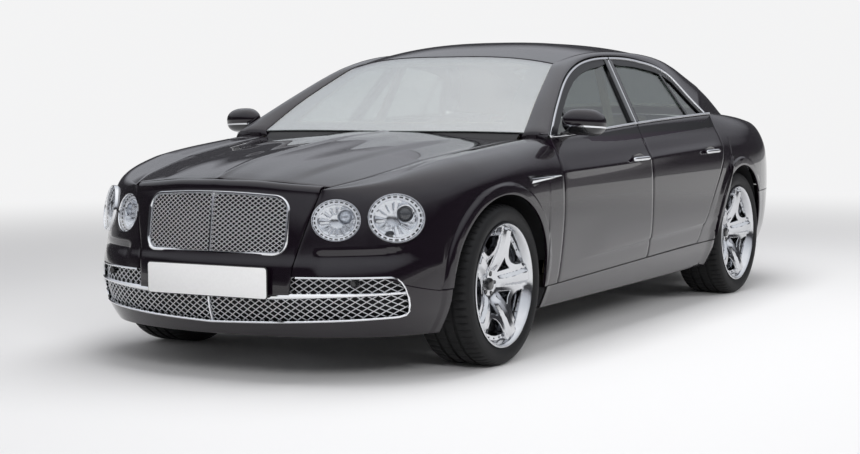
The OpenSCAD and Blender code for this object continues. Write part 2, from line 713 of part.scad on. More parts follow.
// Feet of the rear wing's columns: along the sill, round the arch, then along the bumper.
quarter_gap = gap * 1.9;
quarter_front = door_tail(sill_z(door_tail(0))) - quarter_gap;
quarter_feet = [
    for (k = [0:2]) let (x = mix(quarter_front, axle_r + arch_r, k / 3)) [x, sill_z(x)],
    for (k = [1:10])
        [axle_r + arch_r * cos(k * 18), max(tyre_r + arch_r * sin(k * 18), k > 5 ? tail_split : 0)],
    for (k = [1:2]) [mix(axle_r - arch_r, knee_r, k / 3), tail_split],
];
quarter_heads = [
    for (k = [0:12]) mix(door_tail(body_height) - quarter_gap, axle_r - arch_r * 1.1, k / 12),
    for (k = [1:2]) mix(axle_r - arch_r * 1.1, knee_r + half_l * 0.05, k / 3),
];
function quarter_x(k, z) =
    let (foot = quarter_feet[k], h = quarter_edge(quarter_heads[k]), top = top_z(h[0], h[1]))
    let (w = (z - foot[1]) / (top - foot[1]))
    mix(foot[0], h[0], w)
    + max(0, 1 - k / 6) * (door_tail(z) - mix(door_tail(foot[1]), door_tail(top), w));
tail_corner = tail_x(lid_y, body_height * 0.62) + shoulder * 0.9;
quarter_grid = [
    for (k = [0:len(quarter_feet) - 1])
        let (pt = function(z) let (x = quarter_x(k, z)) [x, side_y(x, z), z])
        column(pt, quarter_feet[k][1], quarter_edge(quarter_heads[k])),
    for (k = [0:6])
        let (u = k / 6, x = mix(knee_r + half_l * 0.05, tail_corner, u))
        column(function(z) rear_point([1, 1 - u], z, lid_y + gap * 1.2), tail_split, quarter_edge(x)),
];
tail_lamp_y = half_w * 0.74;
tail_lamp_z = body_height * 0.51;
tail_lamp = [tail_x(tail_lamp_y, tail_lamp_z) + gap, tail_lamp_y - gap, tail_lamp_z];
tail_lamp_turn = 45;
tail_lamp_r = half_w * 0.075;
module tail_lamp_place() {
    translate(tail_lamp) rotate([0, 0, 180 - tail_lamp_turn]) rotate([0, 90, 0]) children();
}
deck_bracket_y = half_w * 0.6;
module quarter_panels() {
    color("#241a26") pair() {
        difference() {
            slab(quarter_grid, set_under(quarter_grid, -skin));
            tail_lamp_place() translate([0, 0, -tail_lamp_r]) linear_extrude(tail_lamp_r * 2)
                oval(tail_lamp_r + fit);
        }
        for (x = [axle_r + arch_r * 0.5, axle_r - arch_r * 0.9])
            block([x - bracket_w / 2, deck_bracket_y, body_height * 0.575],
                [x + bracket_w / 2, side_y(x, body_height * 0.58) - skin * 0.8, body_height * 0.59]);
    }
}

// Rear bumper
rear_stations = [for (k = [0:3]) [0, k / 4], for (k = [0:9]) [1, 1 - k / 9]];
function rear_bumper_point(s, z) =
    s[0] == 0
    ? let (x = mix(arch_edge(z, axle_r, -1) - gap, knee_r, s[1])) [x, side_y(x, z), z]
    : rear_point(s, z);
rear_bumper_grid = full_round([
    for (s = rear_stations)
        [for (j = [0:8]) rear_bumper_point(s, mix(lip_z * 1.15, tail_split - gap, j / 8))],
]);
tail_bar_x = -half_l * 0.89;
module rear_bumper() {
    color("#241a26") {
        slab(rear_bumper_grid, set_in(rear_bumper_grid, -skin));
        for (s = [-1, 1])
            block([tail_x(half_w * 0.33, body_height * 0.33) + skin / 2,
                s * half_w * 0.3 - bracket_w / 2, body_height * 0.32],
                [tail_bar_x, s * half_w * 0.3 + bracket_w / 2, body_height * 0.34]);
    }
}

// Boot lid: deck, turn and tail face
lid_half = lid_y - gap * 1.5;
lid_front_x = tail_base - gap * 5;
function lid_point(y, v) =
    let (xt = tail_x(y, body_height * 0.62), z1 = top_z(xt, y) - shoulder * 0.6)
    let (xq = xt + shoulder * 0.9, p1 = [xq, y, top_z(xq, y)], p2 = [tail_x(y, z1), y, z1])
    let (c = [tail_x(y, z1) + gap, y, top_z(xt, y)])
    v <= 1
    ? let (x = mix(lid_front_x, xq, v)) [x, y, top_z(x, y)]
    : v <= 2
    ? mix(mix(p1, c, v - 1), mix(c, p2, v - 1), v - 1)
    : let (z = mix(z1, tail_split + gap, v - 2)) [tail_x(y, z), y, z];
lid_vs = [for (k = [0:5]) k / 5, for (k = [1:4]) 1 + k / 4, for (k = [1:4]) 2 + k / 4];
lid_grid = [for (v = lid_vs) [for (j = [0:10]) lid_point(mix(-lid_half, lid_half, j / 10), v)]];
lid_lug_y = half_w * 0.2;
lid_axis_x = lid_front_x - gap * 6;
lid_axis = [lid_axis_x, 0, top_z(lid_axis_x, lid_lug_y) - skin - lug_r - gap * 1.6];
lid_lug_top = top_z(lid_axis_x, lid_lug_y) - skin / 2 - lid_axis[2];
module trunk_lid() {
    color("#241a26") {
        difference() {
            union() {
                slab(lid_grid, set_in(lid_grid, skin));
                for (s = [-1, 1])
                    translate([lid_axis[0], s * lid_lug_y, lid_axis[2]]) {
                        rotate([90, 0, 0]) cylinder(r = lug_r * 1.2, h = lug_h, center = true);
                        block([-lug_r * 4, -lug_h / 2, 0], [lug_r / 2, lug_h / 2, lid_lug_top]);
                    }
            }
            translate(lid_axis) rotate([90, 0, 0])
                cylinder(r = pin_r + pin_play, h = body_width, center = true);
        }
    }
}

// Lamps
module lamp_body(r) {
    difference() {
        translate([0, 0, -lamp_d]) linear_extrude(lamp_d) oval(r);
        translate([0, 0, -lamp_d * 0.45]) linear_extrude(lamp_d) oval(r * 0.88);
    }
    translate([0, 0, -lamp_d * 0.6]) {
        difference() {
            cylinder(r = r * 0.72, h = lamp_d * 0.42);
            translate([0, 0, lamp_d * 0.2]) cylinder(r = r * 0.58, h = lamp_d);
        }
        cylinder(r = r * 0.42, h = lamp_d * 0.24);
        translate([0, 0, lamp_d * 0.2]) sphere(r = r * 0.3, $fn = 32);
    }
}
module headlamps() {
    color("silver") pair() {
        at_lamp_out() lamp_body(lamp_r);
        at_lamp_in() lamp_body(lamp_r * lamp_small);
    }
}
module lamp_glass(r) {
    translate([0, 0, fit]) linear_extrude(glass_t) oval(r);
}
module lamp_lenses() {
    color("white", 0.4) pair() {
        at_lamp_out() lamp_glass(lamp_r);
        at_lamp_in() lamp_glass(lamp_r * lamp_small);
    }
}
module tail_lamps() {
    color("darkred") pair()
        tail_lamp_place() {
            translate([0, 0, -tail_lamp_r * 0.6]) linear_extrude(tail_lamp_r * 0.8) oval(tail_lamp_r);
        }
}

// Cabin frame: front pillars, roof rails and rear pillars as one band, with ledges under the screens
band_d = skin * 2.4;
pillar_foot = door_front - gap;
pillar_head = half_l * 0.165;
rear_corner = -half_l * 0.372;
function band_low(x) = let (z = window_z(x) + gap * 2) [x, glass_y(x, z), z];
function foot_of_pillar(k) =
    let (e = quarter_edge(mix(rear_corner - skin * 3, tail_base + half_l * 0.05, k)))
    [e[0], e[1] - gap, top_z(e[0], e[1]) + gap];
// Outer foot of the band beside each row of the windscreen, the roof and the rear window.
band_feet = [
    for (k = [0:8]) band_low(mix(pillar_foot, pillar_head, k / 8)),
    for (k = [1:12]) band_low(mix(pillar_head, -half_l * 0.31, k / 12)),
    for (k = [1:3]) band_low(mix(-half_l * 0.31, rear_corner, k / 3)),
    for (k = [1:5]) foot_of_pillar(k / 5),
];
function ledge_rows(f, n, t, rows, d) =
    let (g = set_in(patch(f, -1, 1, 0, 1, n, 12), t + fit + d))
    [for (i = rows) g[i]];
function rows_under(d) = [
    each ledge_rows(function(u, v) windscreen_point(u, v), 8, glass_t, [0:7], d),
    each ledge_rows(function(u, v) roof_point(u, v), 12, roof_t, [0:12], d),
    each ledge_rows(function(u, v) tail_window_point(u, v), 8, glass_t, [1:8], d),
];
ledge_top = rows_under(0);
ledge_low = rows_under(skin);
panel_edge = rows_under(-glass_t);
function to_side(p, side) = [p[0], side * abs(p[1]), p[2]];
function in_order(row, side) = side > 0 ? row : [for (k = [len(row) - 1:-1:0]) row[k]];
function band_row(k, side) =
    let (edge = side > 0 ? 12 : 0, low = to_side(band_feet[k], side))
    let (high = panel_edge[k][edge] + [0, side * gap * 1.2, 0])
    let (middle = mix(low, high, 0.5) + [0, side * skin * 0.5, skin * 0.5])
    in_order([ledge_top[k][edge - side], ledge_top[k][edge], high, middle, low], side);
function band_inner(k, side) =
    let (edge = side > 0 ? 12 : 0, low = to_side(band_feet[k], side))
    let (high = panel_edge[k][edge] + [0, side * gap * 1.2, 0])
    let (middle = mix(low, high, 0.5) + [0, side * skin * 0.5, skin * 0.5])
    in_order([
        ledge_low[k][edge - side], ledge_low[k][edge], high - [0, side * gap * 2, band_d],
        middle - [0, side * band_d * 0.7, band_d * 0.7], low - [0, side * band_d, 0],
    ], side);
module band(side) {
    last = len(band_feet) - 1;
    slab([for (k = [0:last]) band_row(k, side)], [for (k = [0:last]) band_inner(k, side)]);
}
// Bar across the car under an edge of a screen, let into the ledges at both ends.
module cross_bar(rows, t) {
    depth = t + fit + skin * 0.15;
    slab(set_in(rows, depth), set_in(rows, depth + skin * 0.6));
}
bar_end = 0.9;
function bar_row(f, v) = [for (k = [-5:5]) f(bar_end * k / 5, v)];
module cross_bars() {
    screen = function(u, v) windscreen_point(u, v);
    top = function(u, v) roof_point(u, v);
    tail = function(u, v) tail_window_point(u, v);
    cross_bar([bar_row(screen, 0.01), bar_row(screen, 0.125)], glass_t);
    cross_bar([bar_row(screen, 0.9), bar_row(screen, 1), bar_row(top, 0.08)], roof_t);
    cross_bar([bar_row(top, 0.92), bar_row(tail, 0), bar_row(tail, 0.1)], roof_t);
    cross_bar([bar_row(tail, 0.875), bar_row(tail, 0.99)], glass_t);
}
module hinge_post(xf, pillar_y) {
    arm_h = lug_h * 0.3;
    for (z = lug_heights)
        translate([axis_x(xf), axis_y(xf), z]) {
            cylinder(r = pin_r, h = lug_h + arm_h * 2, center = true);
            for (s = [-1, 1])
                translate([0, 0, s * (lug_h / 2 + arm_h / 2 + gap * 0.2)]) {
                    cylinder(r = lug_r, h = arm_h, center = true);
                    block([-lug_r, pillar_y - axis_y(xf), -arm_h / 2], [lug_r, 0, arm_h / 2]);
                }
        }
}
pillar_out = half_w * 0.84;
pillar_in = half_w * 0.76;
floor_z = body_height * 0.145;
floor_t = skin * 2;
sill_drop = gap * 1.6;
// Height of the pad on the sill under a post that spans x.
function sill_seat(x) = max(sill_z(x[0]), sill_z(x[1])) - sill_drop + gap * 0.4;
foot_x = [axis_x(door_front) - roll_r * 1.7, door_front + roll_r * 3];
centre_x = [door_split - roll_r * 3.4, door_split + roll_r * 1.6];
module pillars() {
    // Foot of the front pillar, then the whole centre pillar
    block([foot_x[0], pillar_in, sill_seat(foot_x) + fit],
        [foot_x[1], pillar_out, belt_z(door_front) - skin * 5]);
    block([foot_x[0], pillar_in + skin * 2, belt_z(door_front) - skin * 6],
        [door_front - gap * 2, pillar_out + gap * 0.4, belt_z(door_front) + skin * 0.75]);
    hinge_post(door_front, pillar_out - gap);
    block([centre_x[0], pillar_in, sill_seat(centre_x) + fit],
        [centre_x[1], pillar_out, belt_z(door_split) - skin * 7]);
    hinge_post(door_split - gap, pillar_out - gap);
    hull() {
        block([door_split - roll_r * 3, pillar_in, belt_z(door_split) - skin * 9],
            [door_split + roll_r * 1.4, pillar_in + skin * 1.5, belt_z(door_split) - skin * 7]);
        translate([split_top, screen_high_y + skin * 0.7, roof_z(split_top, screen_high_y) - skin * 2.2])
            cube([roll_r * 4, skin * 1.5, skin], center = true);
    }
}
module cabin_frame() {
    color("#241a26") {
        band(1);
        band(-1);
        pair() pillars();
        cross_bars();
    }
}

// Floor, sills, bulkheads and boot floor
well_y = half_w * 0.49;
fire_x = half_l * 0.355;
back_x = axle_r + arch_r * 0.75;
boot_z = body_height * 0.3;
sill_front = axle_f - arch_r * 1.1;
sill_rear = axle_r + arch_r + gap * 2;
function sill_outer(n) = [
    for (i = [0:n])
        let (x = mix(sill_front, sill_rear, i / n))
        [for (j = [0:3]) let (z = mix(floor_z, sill_z(x) - sill_drop, j / 3)) [x,
            side_y(x, z) - gap * 0.2, z]],
];
sill_in = half_w * 0.72;
tunnel_half = half_w * 0.12;
jack_x = [sill_front - arch_r * 0.4, sill_rear + arch_r * 0.4];
jack_y = half_w * 0.78;
jack_half = skin * 3;
jack_z = floor_z - skin * 0.6;
tunnel_z = floor_z + floor_t * 7;
bench_x = back_x + half_l * 0.165 + fit;
cowl_z = hood_axis[2] - lug_r * 10;
shelf_z = lid_axis[2] - lug_r * 5.8;
module floor_pan() {
    color("dimgray") {
        block([sill_rear, -half_w * 0.8, floor_z], [sill_front, half_w * 0.8, floor_z + floor_t]);
        block([back_x - skin, -half_w * 0.6, floor_z],
            [sill_rear + skin, half_w * 0.6, floor_z + floor_t]);
        block([bench_x + half_l * 0.11, -tunnel_half, floor_z], [fire_x, tunnel_half, tunnel_z]);
        pair() {
            g = sill_outer(6);
            slab(g, [for (row = g) [for (p = row) [p[0], sill_in, p[2]]]]);
            for (x = [foot_x, centre_x])
                block([x[0], pillar_in, floor_z], [x[1], pillar_out, sill_seat(x)]);
            for (x = jack_x)
                block([x - jack_half, jack_y - jack_half, jack_z],
                    [x + jack_half, jack_y + jack_half, floor_z + skin]);
            block([tail_bar_x, deck_bracket_y - skin, boot_z],
                [back_x, deck_bracket_y, body_height * 0.6]);
            block([lid_axis[0] - lug_r, deck_bracket_y - skin, boot_z],
                [back_x, deck_bracket_y, shelf_z - fit]);
        }
        block([fire_x - skin, -well_y * 1.5, floor_z], [fire_x, well_y * 1.5, cowl_z - fit]);
        block([back_x - skin, -half_w * 0.68, floor_z], [back_x, half_w * 0.68, body_height * 0.62]);
        block([tail_bar_x, -half_w * 0.6, boot_z], [back_x, half_w * 0.6, boot_z + floor_t]);
        block([tail_bar_x, -half_w * 0.6, boot_z], [tail_bar_x + skin, half_w * 0.6, body_height * 0.38]);
    }
}

// Front structure: bay walls, upper rails and the frame that holds the radiator
bay_front = half_l * 0.925;
bay_wall_x = half_l * 0.86;
post_y = half_w * 0.4;
// Cowl with the pins of the bonnet hinges
module cowl() {
    block([fire_x - skin, -well_y * 1.5, cowl_z],
        [hood_axis[0] + lug_r, well_y * 1.5, cowl_z + skin / 2]);
    for (s = [-1, 1], e = [-1, 1])
        translate([hood_axis[0], s * hood_lug_y + e * (lug_h * 0.5 + skin * 0.5 + gap * 0.2),
            hood_axis[2]]) {
            rotate([90, 0, 0]) cylinder(r = lug_r, h = skin, center = true);
            block([-lug_r, -skin / 2, cowl_z - hood_axis[2]], [lug_r, skin / 2, 0]);
        }
    for (s = [-1, 1])
        translate([hood_axis[0], s * hood_lug_y, hood_axis[2]])
            rotate([90, 0, 0]) cylinder(r = pin_r, h = lug_h + skin * 2, center = true);
}
module front_structure() {
    color("dimgray") {
        pair() {
            block([fire_x, well_y - skin, body_height * 0.2], [bay_wall_x, well_y, rail_z]);
            block([bay_wall_x - skin, well_y - skin, body_height * 0.2],
                [nose_bar_x, well_y, body_height * 0.36]);
            block([fire_x, well_y - skin, rail_z - rail_h], [axle_f + arch_r, rail_y, rail_z]);
            for (x = [axle_f - arch_r * 0.8, axle_f + arch_r * 0.7])
                block([x - bracket_w, rail_y - skin, rail_z - rail_h],
                    [x + bracket_w, rail_y, rail_z + rail_h]);
            block([bay_front - skin, post_y - skin, lip_z],
                [nose_bar_x, post_y + skin, body_height * 0.53]);
        }
        block([bay_front - skin, -half_w * 0.5, lip_z], [nose_bar_x, half_w * 0.5, body_height * 0.29]);
        block([bay_front - skin, -half_w * 0.5, body_height * 0.345],
            [nose_bar_x, half_w * 0.5, body_height * 0.375]);
        cowl();
    }
}

// Shelf behind the rear seat, with the pins of the boot hinges
module rear_shelf() {
    color("dimgray") {
        block([lid_axis[0] - lug_r, -deck_bracket_y, shelf_z],
            [back_x - skin, deck_bracket_y, shelf_z + skin * 0.6]);
        for (s = [-1, 1], e = [-1, 1])
            translate([lid_axis[0], s * lid_lug_y + e * (lug_h * 0.5 + skin * 0.5 + gap * 0.2),
                lid_axis[2]]) {
                rotate([90, 0, 0]) cylinder(r = lug_r, h = skin, center = true);
                block([-lug_r, -skin / 2, shelf_z - lid_axis[2]], [lug_r, skin / 2, 0]);
            }
        for (s = [-1, 1])
            translate([lid_axis[0], s * lid_lug_y, lid_axis[2]])
                rotate([90, 0, 0]) cylinder(r = pin_r, h = lug_h + skin * 2, center = true);
    }
}

// Wheels, drawn round Z with the outer face up, then laid on their side
half_t = tyre_w / 2;
wall = tyre_r - rim_r;
bead_r = rim_r - wall * 0.2;
groove = wall * 0.09;
// Outline of a tyre: share of the wall's height, share of half the width.
tyre_shares = [[-0.2, 0.82], [0.01, 0.85], [0.1, 0.92], [0.3, 0.985], [0.55, 1], [0.78, 0.95],
    [0.93, 0.84], [0.985, 0.72], [1, 0.58]];
function reversed(t) = [for (k = [len(t) - 1:-1:0]) t[k]];
module tyre_round() {
    rotate_extrude($fn = 96)
        difference() {
            polygon([
                for (s = [-1, 1])
                    each [
                        for (q = s < 0 ? tyre_shares : reversed(tyre_shares))
                            [mix(rim_r, tyre_r, q[0]), s * half_t * q[1]],
                    ],
            ]);
            for (k = [-1, 0, 1])
                translate([tyre_r - groove, k * half_t * 0.36 - groove / 2]) square([groove * 2, groove]);
        }
}
barrel_r = rim_r * 0.88;
hub_r = rim_r * 0.26;
bore_r = rim_r * 0.13;
face_z = half_t * 0.66;
module rim_barrel() {
    rotate_extrude($fn = 96)
        polygon([
            [barrel_r - skin * 0.6, -half_t * 0.84], [rim_r - skin, -half_t * 0.96],
            [rim_r, -half_t * 0.96],
            [rim_r, -half_t * 0.88], [bead_r - fit, -half_t * 0.84], [bead_r - fit, half_t * 0.84],
            [rim_r, half_t * 0.88], [rim_r, half_t * 0.96], [rim_r - skin, half_t * 0.96],
            [barrel_r + skin * 0.4, half_t * 0.8], [barrel_r - skin * 0.6, half_t * 0.6],
        ]);
}
// Dish that the spokes are cut from: high at the rim, low at the hub.
module rim_dish() {
    rotate_extrude($fn = 96)
        polygon([
            [bore_r, face_z * 0.45], [hub_r, face_z * 0.45], [hub_r * 1.3, face_z * 0.62],
                [barrel_r * 0.7, face_z * 0.95],
            [barrel_r + skin * 0.2, face_z * 1.15], [barrel_r + skin * 0.2, face_z * 0.85],
                [barrel_r * 0.6, face_z * 0.5],
            [hub_r, face_z * 0.05], [bore_r, face_z * 0.05],
        ]);
}
module spoke_shape() {
    circle(hub_r * 1.25);
    for (k = [0:spokes - 1])
        rotate(k * 360 / spokes)
            difference() {
                polygon([
                    [hub_r * 0.8, -hub_r * 0.6], [barrel_r * 1.1, -barrel_r * 0.27],
                    [barrel_r * 1.1, barrel_r * 0.27], [hub_r * 0.8, hub_r * 0.6],
                ]);
                polygon([[hub_r * 1.5, 0], [barrel_r * 0.93, -barrel_r * 0.1],
                    [barrel_r * 0.93, barrel_r * 0.1]]);
            }
}
disc_t = half_t * 0.22;
disc_z = -half_t * 0.42;
module rim_round() {
    difference() {
        union() {
            rim_barrel();
            intersection() {
                rim_dish();
                linear_extrude(half_t * 2) spoke_shape();
            }
            // Brake disc and its bell
            translate([0, 0, disc_z]) cylinder(r = disc_r, h = disc_t);
            translate([0, 0, disc_z]) cylinder(r = hub_r * 1.3, h = face_z * 0.3 - disc_z);
        }
        translate([0, 0, -half_t]) cylinder(r = bore_r + pin_play, h = half_t + face_z * 0.3);
        for (k = [0:spokes - 1])
            rotate((k + 0.5) * 360 / spokes) translate([hub_r * 0.72, 0, face_z * 0.3])
                cylinder(r = hub_r * 0.14, h = half_t);
    }
    translate([0, 0, face_z * 0.3]) cylinder(r = hub_r * 0.54, h = face_z * 0.22);
}
module at_wheel(axle, side) {
    translate([axle, side * track_half, tyre_r]) rotate([-90 * side, 0, 0]) children();
}
module tyre(axle, side) {
    color("#202020") at_wheel(axle, side) tyre_round();
}
module rim(axle, side) {
    color("silver") at_wheel(axle, side) rim_round();
}

// Knuckles turn on upright pins in the suspension arms
king_y = track_half - half_t * 0.92;
king_pin_r = pin_r * 1.8;
king_top = tyre_r + disc_r * 0.72;
king_low = tyre_r - disc_r * 0.72;
upright_w = half_t * 0.3;
pin_deep = skin * 2.4;
module knuckle() {
    difference() {
        union() {
            block([axle_f - upright_w, king_y - upright_w * 0.8, king_low],
                [axle_f + upright_w, king_y + upright_w * 0.7, king_top]);
            translate([axle_f, king_y, tyre_r]) rotate([-90, 0, 0])
                cylinder(r = bore_r, h = track_half - king_y + face_z * 0.25);
            translate([axle_f, king_y, tyre_r]) rotate([-90, 0, 0])
                cylinder(r = bore_r * 1.5, h = track_half + disc_z - king_y - gap);
        }
        for (z = [king_low - over, king_top - pin_deep])
            translate([axle_f, king_y, z]) cylinder(r = king_pin_r + pin_play, h = pin_deep + over);
    }
    // Caliper that straddles the disc
    difference() {
        translate([axle_f, 0, tyre_r])
            block([-disc_r * 1.12, king_y - upright_w * 0.5, -upright_w * 1.4],
                [-upright_w * 0.9, track_half + disc_z + disc_t + skin * 1.6, upright_w * 1.4]);
        translate([axle_f, track_half + disc_z - gap, tyre_r]) rotate([-90, 0, 0])
            cylinder(r = disc_r + gap, h = disc_t + gap * 2);
        translate([axle_f, track_half + disc_z - gap, tyre_r]) rotate([-90, 0, 0])
            cylinder(r = hub_r * 1.5, h = half_t);
    }
}
module front_left_knuckle() {
    color("gray") knuckle();
}
module front_right_knuckle() {
    color("gray") mirror([0, 1, 0]) knuckle();
}
arm_w = upright_w * 1.5;
arm_t = skin * 1.6;
module suspension() {
    color("gray") {
        // Front arms with the upright pins
        pair() {
            for (top = [0, 1]) {
                z = top == 1 ? king_top + gap * 0.2 : king_low - gap * 0.2 - arm_t;
                block([axle_f - arm_w, top == 1 ? well_y : half_w * 0.3, z],
                    [axle_f + arm_w, king_y, z + arm_t]);
                translate([axle_f, king_y, z]) cylinder(r = arm_w, h = arm_t);
                translate([axle_f, king_y, top == 1 ? z - pin_deep * 0.9 : z])
                    cylinder(r = king_pin_r, h = arm_t + pin_deep * 0.9);
            }
            // Rear hub carrier with its stub axle
            translate([axle_r, 0, tyre_r]) {
                block([-upright_w, half_w * 0.2, -upright_w],
                    [upright_w, king_y + upright_w * 0.5, upright_w]);
                translate([0, king_y, 0]) rotate([-90, 0, 0])
                    cylinder(r = bore_r, h = track_half - king_y + face_z * 0.25);
                translate([0, king_y, 0]) rotate([-90, 0, 0])
                    cylinder(r = bore_r * 1.5, h = track_half + disc_z - king_y - gap);
            }
        }
        block([axle_f - arm_w * 3, -half_w * 0.4, king_low - gap - arm_t * 2],
            [axle_f + arm_w * 3, half_w * 0.4, king_low - gap * 0.2]);
        block([axle_r - arm_w * 2.4, -half_w * 0.3, tyre_r - upright_w * 1.6],
            [axle_r + arm_w * 2.4, half_w * 0.3, boot_z]);
    }
}

// Cabin: dashboard, column, wheel, seats, console
dash_x = fire_x - skin;
module profile(y0, y1) {
    translate([0, y1, 0]) rotate([90, 0, 0]) linear_extrude(y1 - y0) children();
}
dash_z = body_height * 0.645;
dash_half = pillar_in - gap * 2;
ring_place = [dash_x - half_l * 0.148, seat_y, body_height * 0.61];
ring_tip = 116;
column_r = pin_r * 2.4;
pad_half = half_w * 0.55;
pad_gap = skin * 5;
module dashboard() {
    color("tan") {
        profile(-dash_half, dash_half)
            polygon([
                [dash_x, dash_z], [dash_x - half_l * 0.02, dash_z + skin],
                    [dash_x - half_l * 0.1, dash_z - skin],
                [dash_x - half_l * 0.125, dash_z - skin * 4], [dash_x - half_l * 0.1, dash_z - skin * 12],
                [dash_x - half_l * 0.05, dash_z - skin * 18], [dash_x, dash_z - skin * 20],
            ]);
        translate([0, 0, cowl_z + skin / 2 + fit])
            linear_extrude(dash_z - cowl_z - skin / 2 - fit)
                polygon([
                    for (k = [-6:6]) let (y = pad_half * k / 6) [screen_edge(y) - pad_gap, y],
                    [dash_x - skin, pad_half], [dash_x - skin, -pad_half],
                ]);
        translate(ring_place) rotate([0, ring_tip, 0]) {
            translate([0, 0, gap / 5]) cylinder(r = column_r, h = half_l * 0.12);
            translate([0, 0, skin * 2]) cylinder(r = column_r * 2, h = half_l * 0.1);
        }
    }
}
module steering_wheel() {
    color("#3a2a22") translate(ring_place) rotate([0, ring_tip, 0]) {
        rotate_extrude($fn = 72) translate([wheel_ring_r - skin, 0]) circle(skin, $fn = 24);
        difference() {
            union() {
                translate([0, 0, -skin * 1.5]) cylinder(r = wheel_ring_r * 0.36, h = skin * 3);
                for (a = [90, 180, 270])
                    rotate(a) translate([wheel_ring_r * 0.3, -skin, -skin * 0.6])
                        cube([wheel_ring_r * 0.6, skin * 2, skin * 1.2]);
            }
            cylinder(r = column_r + pin_play, h = skin * 4);
        }
    }
}
seat_z = floor_z + floor_t;
seat_x = door_split + half_l * 0.05;
module seat_outline() {
    polygon([
        [half_l * 0.105, body_height * 0.075], [half_l * 0.1, body_height * 0.155],
            [half_l * 0.075, body_height * 0.17],
        [-half_l * 0.06, body_height * 0.15], [-half_l * 0.12, body_height * 0.43],
            [-half_l * 0.15, body_height * 0.44],
        [-half_l * 0.165, body_height * 0.42], [-half_l * 0.115, body_height * 0.07],
            [half_l * 0.08, body_height * 0.06],
    ]);
}
module head_rest() {
    profile(-seat_w * 0.27, seat_w * 0.27)
        polygon([
            [-half_l * 0.125, body_height * 0.46], [-half_l * 0.128, body_height * 0.555],
                [-half_l * 0.16, body_height * 0.565],
            [-half_l * 0.168, body_height * 0.47],
        ]);
    for (s = [-1, 1])
        translate([-half_l * 0.145, s * seat_w * 0.12, body_height * 0.4])
            cylinder(r = pin_r, h = body_height * 0.1);
}
module front_seats() {
    color("beige")
        for (s = [-1, 1])
            translate([seat_x, s * seat_y, seat_z]) {
                profile(-seat_w / 2, seat_w / 2) seat_outline();
                head_rest();
                for (e = [-1, 1])
                    block([-half_l * 0.1, e * seat_w * 0.36 - skin, 0],
                        [half_l * 0.08, e * seat_w * 0.36 + skin, body_height * 0.09]);
            }
}
bench_half = half_w * 0.63;
module rear_seat() {
    color("beige") {
        translate([bench_x, 0, seat_z]) {
            profile(-bench_half, bench_half) seat_outline();
            block([-half_l * 0.1, -bench_half, 0], [half_l * 0.07, bench_half, body_height * 0.09]);
            for (s = [-1, 1])
                translate([0, s * seat_y, 0]) head_rest();
        }
    }
}
module console() {
    color("tan")
        profile(-tunnel_half, tunnel_half)
            polygon([
                [dash_x - half_l * 0.055, tunnel_z], [dash_x - half_l * 0.105, dash_z - skin * 14],
                [dash_x - half_l * 0.19, tunnel_z + skin * 8],
                    [dash_x - half_l * 0.36, tunnel_z + skin * 12],
                [dash_x - half_l * 0.43, tunnel_z + skin * 11], [dash_x - half_l * 0.43, tunnel_z],
            ]);
}

// Engine, radiator, exhaust
module engine() {
    color("gray") {
        block([axle_f - arch_r, -well_y * 0.62, king_low - gap * 0.2],
            [bay_front - half_l * 0.06, well_y * 0.62, body_height * 0.52]);
        block([axle_f - arch_r * 0.9, -well_y * 0.5, body_height * 0.52],
            [bay_front - half_l * 0.08, well_y * 0.5, body_height * 0.545]);
    }
}
module radiator() {
    color("gray")
        block([bay_front - skin * 3.5, -post_y, lip_z + skin * 2],
            [bay_front - skin, post_y, body_height * 0.5]);
}
pipe_r = half_w * 0.035;
pipe_y = half_w * 0.34;
pipe_z = floor_z - pipe_r - fit;
module exhaust() {
    color("silver") pair() {
        translate([axle_r + arch_r * 1.1, pipe_y * 0.5, pipe_z]) rotate([0, 90, 0])
            cylinder(r = pipe_r, h = wheelbase * 0.55);
        translate([tail_bar_x + half_l * 0.05, half_w * 0.42, boot_z - half_w * 0.09 - fit])
            rotate([0, 90, 0]) cylinder(r = half_w * 0.09, h = half_l * 0.1);
    }
}

module front_left_tyre() {
    tyre(axle_f, 1);
}
module front_left_rim() {
    rim(axle_f, 1);
}
module front_right_tyre() {
    tyre(axle_f, -1);
}
module front_right_rim() {
    rim(axle_f, -1);
}
module rear_left_tyre() {
    tyre(axle_r, 1);
}
module rear_left_rim() {
    rim(axle_r, 1);
}
module rear_right_tyre() {
    tyre(axle_r, -1);
}
module rear_right_rim() {
    rim(axle_r, -1);
}

floor_pan();
front_structure();
cabin_frame();
rear_shelf();
roof();
front_wings();
quarter_panels();
nose_panel();
front_bumper();
rear_bumper();
grille();
lower_grille();
headlamps();
lamp_lenses();
tail_lamps();
windscreen();
rear_window();
dashboard();
console();
front_seats();
rear_seat();
engine();
radiator();
exhaust();
suspension();
steering_wheel();
front_left_knuckle();
front_right_knuckle();
front_left_tyre();
front_left_rim();
front_right_tyre();
front_right_rim();
rear_left_tyre();
rear_left_rim();
rear_right_tyre();
rear_right_rim();
front_left_door();
front_left_window();
front_right_door();
front_right_window();
rear_left_door();
rear_left_window();
rear_right_door();
rear_right_window();
left_mirror();
right_mirror();
hood();
trunk_lid();
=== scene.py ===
import math
from bisect import bisect_right
import bpy
import numpy as np
from mathutils import Matrix, Vector
from mathutils.geometry import delaunay_2d_cdt


